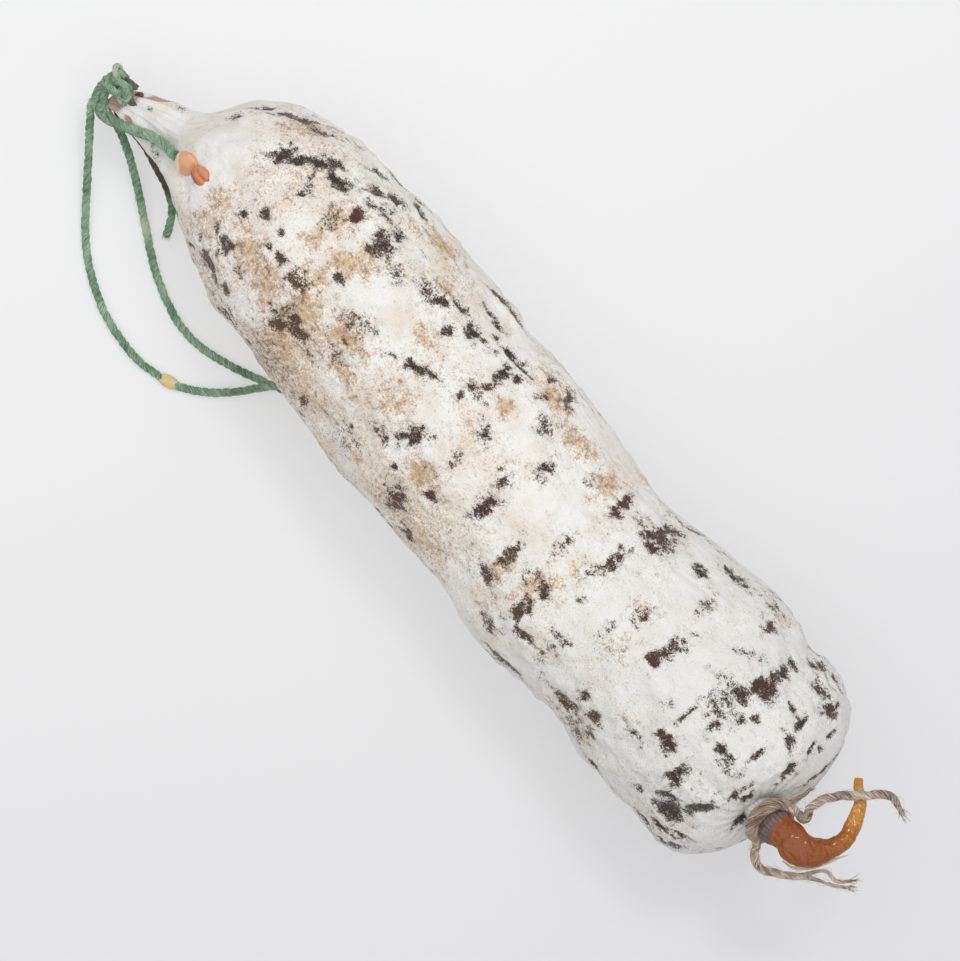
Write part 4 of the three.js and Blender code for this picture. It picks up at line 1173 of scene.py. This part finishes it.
class SausageStrings(bpy.types.PropertyGroup):
    """Sizes and colours of the string and the twine."""

    string_diameter: bpy.props.FloatProperty(
        name="String", description="Thickness of the string", default=STRING_DIAMETER * MM, unit="LENGTH")
    twine_diameter: bpy.props.FloatProperty(
        name="Twine", description="Thickness of the twine", default=TWINE_DIAMETER * MM, unit="LENGTH")
    green: colour_setting("Green", "Cotton in the light", "#AAC8AB")
    green_shade: colour_setting("Green shade", "Cotton between the plies", "#456F52")
    # colour of stains, also used as painted shade in the knot
    string_stain_and_shade: colour_setting("String stain", "String soaked with fat", "#544A36")
    string_worn: colour_setting("Worn string", "Pale worn cotton", "#C7CDB9")
    jute: colour_setting("Jute", "Jute in the light", "#EBDAC6")
    jute_shade: colour_setting("Jute shade", "Jute between the plies", "#5C3D2B")
    jute_stain: colour_setting("Jute stain", "Jute browned by the casing", "#8A5F45")
    jute_worn: colour_setting("Pale jute", "Bleached jute ends", "#DED5C4")
    drip: colour_setting("Drip", "Dried drip on the string", "#DDC27E")


class SausageStage(bpy.types.PropertyGroup):
    """Floor, light and camera."""

    floor: colour_setting("Floor", "Pale floor towards the lamp", "#F2F2F3")
    # colour where the floor's painted falloff is darkest
    floor_painted_falloff: colour_setting("Far floor", "Floor away from the lamp", "#E0E0E2")
    sky: bpy.props.FloatProperty(name="Sky", description="Soft light from overhead", default=1.5, min=0)
    key_power: bpy.props.FloatProperty(
        name="Key", description="Power of the lamp", default=2.0, min=0, unit="POWER")
    key_size: bpy.props.FloatProperty(
        name="Key size", description="Width of the lamp", default=0.2, unit="LENGTH")


def add_camera(scene):
    """The camera straight above the sausage."""
    lens = bpy.data.cameras.new("camera")
    lens.sensor_fit = "HORIZONTAL"
    lens.sensor_width = SENSOR_WIDTH
    lens.lens = SENSOR_WIDTH * CAMERA_DISTANCE / PICTURE_WIDTH
    camera = bpy.data.objects.new("camera", lens)
    camera.location = np.array((*CAMERA_AXIS, CAMERA_DISTANCE + PICTURE_PLANE)) * MM
    camera.rotation_euler = (0, 0, math.radians(CAMERA_TURN))
    scene.collection.objects.link(camera)
    scene.camera = camera


def add_floor(context, look):
    """The board that the sausage lies on."""
    bpy.ops.mesh.primitive_plane_add(size=FLOOR_SIZE * MM)
    floor = context.active_object
    floor.name = "floor"
    floor.data.materials.append(painted_glow_board(look))


def add_key(scene, look):
    """The lamp, turned towards the sausage."""
    lamp = bpy.data.lights.new("key", "AREA")
    lamp.shape = "SQUARE"
    lamp.size = look.key_size
    lamp.energy = look.key_power
    key = bpy.data.objects.new("key", lamp)
    key.location = KEY_PLACE * MM
    way = KEY_TARGET - KEY_PLACE
    drop = math.atan2(math.hypot(way[0], way[1]), -way[2])
    key.rotation_euler = (drop, 0, math.atan2(way[1], way[0]) - math.pi / 2)
    scene.collection.objects.link(key)


def add_sky(scene, look):
    """Soft light from all round, strongest overhead."""
    world = bpy.data.worlds.new("soft room")
    world.use_nodes = True
    sky = world.node_tree
    background = sky.nodes["Background"]
    background.inputs["Color"].default_value = WHITE
    way = add_node(sky, "ShaderNodeTexCoord").outputs["Generated"]
    rise = add_node(sky, "ShaderNodeSeparateXYZ", {0: way}).outputs[2]
    strength = mask(sky, rise, (SKY_RISE, 1.0), span=(HORIZON * look.sky, look.sky))
    sky.links.new(strength, background.inputs["Strength"])
    scene.world = world


class SAUSAGE_OT_stage(bpy.types.Operator):
    """Adds the floor, the light and the camera above the sausage"""

    bl_idname = "sausage.stage"
    bl_label = "Stage"

    def execute(self, context):
        look = context.scene.sausage_stage
        add_camera(context.scene)
        add_floor(context, look)
        add_key(context.scene, look)
        add_sky(context.scene, look)
        context.scene.view_settings.view_transform = "Standard"
        return {"FINISHED"}


def ellipsoid_rings(half, rings, sides):
    """Rings of a rounded lump with the given half sizes, closing at both ends along its first size."""
    rise = np.linspace(POLE_GAP, math.pi - POLE_GAP, rings)[:, None]
    angle = np.linspace(0, 2 * math.pi, sides, endpoint=False)[None, :]
    shape = np.broadcast_arrays(-np.cos(rise), np.sin(rise) * np.cos(angle), np.sin(rise) * np.sin(angle))
    return np.stack(shape, axis=-1) * np.array(half)


def drip_rings(path):
    """The drip, lying along the string where it dried."""
    i = int(np.argmin(((path - np.array(DRIP_CENTRE)) ** 2).sum(1)))
    ahead = unit(path[i + 2] - path[i - 2])
    across = unit(np.cross(UP, ahead))
    rings = path[i] + ellipsoid_rings(DRIP_HALF, DRIP_RINGS, DRIP_SIDES) @ np.stack([ahead, across, UP])
    rings = rings + DRIP_LUMP * unit(rings - path[i]) * swing(rings, DRIP_LUMP_SIZE, DRIP_SEED)[..., None]
    rings[..., 2] = np.maximum(rings[..., 2], DRIP_LOWEST)
    return rings


class SAUSAGE_OT_hanging_string(bpy.types.Operator):
    """Adds the free loop of green string with the dried drip on it"""

    bl_idname = "sausage.hanging_string"
    bl_label = "Hanging string"

    def execute(self, context):
        look = context.scene.sausage_strings
        diameter = look.string_diameter / MM
        path = smooth_path(LOOP_ROUTE, ROPE_STEP)
        worn = np.exp(-((path - np.array(WORN_PLACE)) ** 2).sum(1) / (2 * WORN_SPREAD ** 2))
        build = Build(*STRING_VALUES)
        add_rope(build, path, diameter, STRING_PITCH, worn=WORN_SHARE * worn)
        add_hairs(build, path, diameter, count=260, reach=0.9, seed=41)
        loop = make_piece("hanging_string_loop", build, green_cotton(look), "hanging_string")
        drop = Build()
        drop.tube(drip_rings(path))
        drip = make_piece("dried_drip", drop, dried_drip(look), None)
        return {"FINISHED"}


class SAUSAGE_OT_casing(bpy.types.Operator):
    """Adds the filled casing with its lumps, pleats and mould"""

    bl_idname = "sausage.casing"
    bl_label = "Casing"

    def execute(self, context):
        points = casing_grid()
        normals = grid_normals(points)
        values = casing_values(points, normals)
        grid = points.shape[:2]
        sunk = MARK_DEPTH * ease(values["bare"].reshape(grid), *MARK_DEPTH_RISE)
        points = points - sunk[..., None] * normals
        points[..., 2] = np.maximum(points[..., 2], 0)
        # The rings run the other way round, so that the faces point out
        turned = {name: row.reshape(grid)[:, ::-1].ravel() for name, row in values.items()}
        build = Build(*values)
        build.tube(points[:, ::-1], **turned)
        material = mould_casing(context.scene.sausage_looks)
        make_piece("mould_casing", build, material, "sausage")
        return {"FINISHED"}


def add_hook(build):
    """The empty casing past the tie: gathered folds above the twine, then a smooth hook that thins out."""
    below = [(*(TIE + TIE_AXIS * far), half, thick) for far, half, thick in HOOK_BELOW_TIE]
    stations = np.array(below + list(HOOK_PAST_TIE))
    path = smooth_path(stations[:, :3], HOOK_STEP)
    nearest = np.argmin(((path[:, None] - stations[None, :, :3]) ** 2).sum(-1), axis=0)
    steps = np.arange(len(path))
    half, thick = (np.interp(steps, nearest, stations[:, column])[:, None] for column in (3, 4))
    ahead = unit(np.gradient(path, axis=0))
    across = unit(np.cross(UP, ahead))
    over = np.cross(ahead, across)
    angle = np.linspace(0, 2 * math.pi, HOOK_SIDES, endpoint=False)[None, :]
    height = ((path - TIE) @ TIE_AXIS)[:, None]
    fading = ease(steps, nearest[SMOOTH_STATION], nearest[GATHERED_STATION])[:, None]
    gather = ease(height, *FOLD_REACH) * fading
    rings = path[:, None] + (half * np.cos(angle))[..., None] * across[:, None]
    rings = rings + (thick * np.sin(angle))[..., None] * over[:, None]
    out = unit(rings - path[:, None])
    waves = FOLD_COUNT * angle + FOLD_SWAY * np.sin(2 * angle) + FOLD_DRIFT * height
    ridge = 0.5 + 0.5 * np.cos(waves + FOLD_WANDER * noise(rings, FOLD_WANDER_SIZE, FOLD_SEED))
    slim = np.minimum(1, np.minimum(half, thick) / HOOK_FULL)
    lift = relief(rings * HOOK_WRINKLE_RUN, HOOK_WRINKLES, HOOK_WRINKLE_SEED) * slim
    lift = lift * (1 - FOLD_SMOOTHING * gather) + FOLD_HEIGHT * (2 * ridge - 1) * gather
    rise = ease(steps, nearest[GATHERED_STATION], nearest[THIN_STATION])
    values = {"rise": rise, "gather": gather, "mouldy": ease(height, *MOULDY_FOOT)}
    values = {name: np.repeat(row, HOOK_SIDES) for name, row in values.items()}
    build.tube(rings + lift[..., None] * out, ridge=(RIDGE_BLOOM_AND_SHADE * ridge * gather).ravel(), **values)


def add_film(build):
    """The thin film of dried casing along the hook's outer edge."""
    edge = smooth_path(FILM_ROUTE, FILM_STEP)
    flat = np.cross(unit(np.gradient(edge, axis=0)), UP)
    circle = np.linspace(0, 2 * math.pi, FILM_SIDES, endpoint=False)
    taper = FILM_HALF * np.sin(np.linspace(*FILM_TAPER, len(edge)))
    strip = edge[:, None] + (taper[:, None] * np.cos(circle))[..., None] * flat[:, None]
    strip = strip + FILM_THICK * np.sin(circle)[None, :, None] * UP
    strip = strip + FILM_WAVE * swing(strip, FILM_WAVE_SIZE, FILM_SEED)[..., None] * UP
    build.tube(strip, film=1.0, rise=1.0)


class SAUSAGE_OT_hook(bpy.types.Operator):
    """Adds the dried hook of empty casing past the tie"""

    bl_idname = "sausage.hook"
    bl_label = "Dried hook"

    def execute(self, context):
        build = Build(*HOOK_VALUES)
        add_hook(build)
        add_film(build)
        material = amber_casing(context.scene.sausage_looks)
        make_piece("dried_casing_hook", build, material, "sausage")
        return {"FINISHED"}


def bead_colours(number, u, v):
    """Dark rim and pale edge of a bead: the first has a pale edge alone, the second both."""
    if number == 0:
        return 0 * u, ease(-u - v, 0.2, 1.2)
    rim = np.maximum(ease(u + 0.6 * v, 0.6, 1.1), 0.75 * ease(-v - 0.2 * u, 0.35, 0.8))
    return rim, 0.45 * ease(v - 0.3 * u, 0.1, 0.6)


def add_bead(build, number, x, y, *half):
    """One bead of fat, laid on the neck and a little sunk into it."""
    centre, angle = over_skin(x, y, -BEAD_SINK)
    ball = ellipsoid_rings((1, 1, 1), BEAD_RINGS, BEAD_SIDES)
    u, v, w = ball[..., 0], ball[..., 1], ball[..., 2]
    local = ball * np.array(half)
    for share, size, seed in BEAD_SWELLS:
        local = local * (1 + share * swing(ball + BEAD_APART * number, size, seed)[..., None])
    sunk = np.exp(-((v - GROOVE_PLACE - GROOVE_BEND * u * u) / GROOVE_WIDTH) ** 2)
    local[..., 2] -= number * BEAD_GROOVE * sunk * ease(w, *GROOVE_TOP) * ease(u, *GROOVE_END)
    cos, sin = math.sin(angle), -math.cos(angle)
    placed = centre + local @ np.array(((1, 0, 0), (0, cos, sin), (0, -sin, cos)))
    rim, pale = bead_colours(number, u, v)
    build.tube(placed, thick=BEAD_THICK[number], rim=rim.ravel(), pale=pale.ravel())


class SAUSAGE_OT_fat(bpy.types.Operator):
    """Adds the two beads of set fat on the neck"""

    bl_idname = "sausage.fat"
    bl_label = "Fat beads"

    def execute(self, context):
        build = Build(*BEAD_VALUES)
        for number, bead in enumerate(FAT_BEADS):
            add_bead(build, number, *bead)
        make_piece("fat_beads", build, set_fat(context.scene.sausage_looks), "sausage")
        return {"FINISHED"}


def add_knot(build, diameter):
    """The overhand knot, the turn round the neck under it, and the two strands laid over it."""
    knot = knot_path(ROPE_STEP)
    add_rope(build, knot, diameter, STRING_PITCH, seed=1)
    facing = np.array((math.cos(TURN_YAW), -math.sin(TURN_YAW), 0))
    ring = ring_path(TURN_CENTRE, facing, TURN_RADIUS, ROPE_STEP, TURN_ARC)
    # the stain that rises along the turn darkens its end inside the knot: painted shade
    add_rope(build, ring, diameter, STRING_PITCH, seed=2, stain=np.linspace(0, 0.9, len(ring)))
    for number, places in enumerate(KNOT_WRAPS):
        add_rope(build, smooth_path(places, ROPE_STEP), SLIM * diameter, COLLAR_PITCH, seed=7 + number)
    return knot


def add_collar(build, diameter):
    """The loosened strand that lies up the neck, with a second one beside its start."""
    on_neck = [over_skin(x, y, GAP + COLLAR_DIAMETER / 2)[0] for x, y in COLLAR_ON_NECK]
    collar = smooth_path([*COLLAR_BIGHT, *on_neck], ROPE_STEP)
    add_rope(build, collar, COLLAR_DIAMETER, COLLAR_PITCH, plies=5, seed=3)
    twin = smooth_path([*COLLAR_TWIN, on_neck[0] + np.array(TWIN_SHIFT)], ROPE_STEP)
    add_rope(build, twin, diameter, COLLAR_PITCH, plies=4, seed=10)
    return collar


def add_short_ends(build, diameter):
    """The small bight on the knot, the flattened wedge of fibres beside it, stained dark as painted shade for
    the hollow between the strands, and a dark end.
    """
    ear = smooth_path(EAR, ROPE_STEP)
    add_rope(build, ear, SLIM * diameter, 2 * STRING_PITCH, plies=2, seed=4, worn=0.6)
    wedge = smooth_path(SHADE_WEDGE, ROPE_STEP)
    taper = np.linspace(1.9, 0.2, len(wedge))
    # the wedge's stain is painted shade for the hollow between the strands
    stain = np.linspace(0.4, 0.6, len(wedge))
    add_rope(build, wedge, diameter, 3 * STRING_PITCH, swell=taper, plies=4, seed=6, stain=stain)
    dark = smooth_path(DARK_END, ROPE_STEP)
    add_rope(build, dark, DARK_END_SHARE * diameter, STRING_PITCH, seed=12, stain=0.55)


def add_cut_end(build, diameter):
    """The string's cut end, darker and thinner beside the neck."""
    cut = smooth_path(CUT_END, ROPE_STEP)
    darkened = CUT_END_STAIN + DARKER_STAIN * ease(cut[:, 0], *DARKER_PART)
    thinner = 1 - THIN_LOSS * ease(cut[:, 0], *THIN_PART)
    add_rope(build, cut, diameter, STRING_PITCH, swell=thinner, seed=5, stain=darkened)
    return cut


class SAUSAGE_OT_string_knot(bpy.types.Operator):
    """Adds the green string's knot, its turn round the neck, its loosened strand and its cut end"""

    bl_idname = "sausage.string_knot"
    bl_label = "String knot"

    def execute(self, context):
        look = context.scene.sausage_strings
        diameter = look.string_diameter / MM
        build = Build(*STRING_VALUES)
        knot = add_knot(build, diameter)
        collar = add_collar(build, diameter)
        add_short_ends(build, diameter)
        cut = add_cut_end(build, diameter)
        add_fray(build, cut, spread=1.6, count=26, long=1.5, seed=45, worn=0.9)
        add_fray(build, collar, spread=2.0, count=30, long=1.6, seed=46)
        for path, count, seed in ((knot, 120, 61), (collar, 90, 62), (cut, 60, 63)):
            add_hairs(build, path, diameter, count, reach=0.8, seed=seed)
        make_piece("knotted_string", build, green_cotton(look), "string_knot")
        return {"FINISHED"}


def add_yarn(build, number, places):
    """One loose yarn at the end of the twine, with its frayed tip."""
    yarn = smooth_path(places, ROPE_STEP)
    taper = np.linspace(1, 0.65, len(yarn))
    add_rope(build, yarn, PLY_DIAMETER, 2 * TWINE_PITCH, swell=taper, plies=2, seed=15 + number, worn=0.35)
    add_fray(build, yarn, spread=0.9, count=14, long=2.4, seed=71 + number, worn=0.3)
    add_hairs(build, yarn, PLY_DIAMETER, count=30, reach=1.5, seed=81 + number)


class SAUSAGE_OT_twine_tie(bpy.types.Operator):
    """Adds the jute twine's turn round the waist with its frayed ends"""

    bl_idname = "sausage.twine_tie"
    bl_label = "Twine tie"

    def execute(self, context):
        look = context.scene.sausage_strings
        diameter = look.twine_diameter / MM
        build = Build(*STRING_VALUES)
        ring = ring_path(TIE, TIE_AXIS, WAIST_RADIUS + GAP + diameter / 2, ROPE_STEP)
        add_rope(build, ring, TURN_SHARE * diameter, 2 * TWINE_PITCH, plies=6, seed=11, stain=0.42)
        upper, lower, short = (smooth_path(places, ROPE_STEP)
                               for places in (TWINE_UPPER_END, TWINE_LOWER_END, TWINE_SHORT_END))
        thin = np.interp(np.linspace(0, 1, len(upper)), (0, 0.85, 1), (1, 1, 0.55))
        add_rope(build, upper, diameter, TWINE_PITCH, swell=thin, seed=12)
        thin = np.linspace(1, 0.8, len(lower))
        add_rope(build, lower, diameter, TWINE_PITCH, swell=thin, seed=13, stain=0.1)
        thin = np.linspace(0.8, 0.5, len(short))
        add_rope(build, short, SHORT_END_DIAMETER, TWINE_PITCH, swell=thin, seed=14, stain=0.4)
        for number, places in enumerate(LOOSE_YARNS):
            add_yarn(build, number, places)
        add_fray(build, upper, spread=1.1, count=24, long=3.0, seed=73)
        add_fray(build, short, spread=1.2, count=14, long=1.6, seed=74)
        for path, count, seed in ((ring, 50, 83), (upper, 110, 84), (lower, 70, 85), (short, 20, 86)):
            add_hairs(build, path, diameter, count, reach=1.5, seed=seed)
        make_piece("jute_tie", build, jute_fibre(look), "twine_tie")
        return {"FINISHED"}


class SAUSAGE_PT_panel(bpy.types.Panel):
    """Lists the steps that build the sausage and their settings"""

    bl_idname = "SAUSAGE_PT_panel"
    bl_label = "Cured sausage"
    bl_space_type = "VIEW_3D"
    bl_region_type = "UI"
    bl_category = "Sausage"

    def draw(self, context):
        for operator in OPERATORS:
            self.layout.operator(operator.bl_idname)
        for group in (getattr(context.scene, name) for name in GROUPS):
            for name in group.bl_rna.properties.keys():
                if name not in ("rna_type", "name"):
                    self.layout.prop(group, name)


OPERATORS = (SAUSAGE_OT_stage, SAUSAGE_OT_hanging_string, SAUSAGE_OT_casing, SAUSAGE_OT_hook, SAUSAGE_OT_fat,
             SAUSAGE_OT_string_knot, SAUSAGE_OT_twine_tie)
GROUPS = {"sausage_looks": SausageLooks, "sausage_strings": SausageStrings, "sausage_stage": SausageStage}


def register():
    """Makes the settings, steps and panel known to Blender."""
    for made in (*GROUPS.values(), *OPERATORS, SAUSAGE_PT_panel):
        bpy.utils.register_class(made)
    for name, group in GROUPS.items():
        setattr(bpy.types.Scene, name, bpy.props.PointerProperty(type=group))


def unregister():
    """Takes them out again."""
    for name in GROUPS:
        delattr(bpy.types.Scene, name)
    for made in (SAUSAGE_PT_panel, *reversed(OPERATORS), *reversed(GROUPS.values())):
        bpy.utils.unregister_class(made)


def main():
    """Builds the stage and every piece."""
    register()
    bpy.ops.sausage.stage()
    bpy.ops.sausage.hanging_string()
    bpy.ops.sausage.casing()
    bpy.ops.sausage.hook()
    bpy.ops.sausage.fat()
    bpy.ops.sausage.string_knot()
    bpy.ops.sausage.twine_tie()


if __name__ == "__main__":
    main()
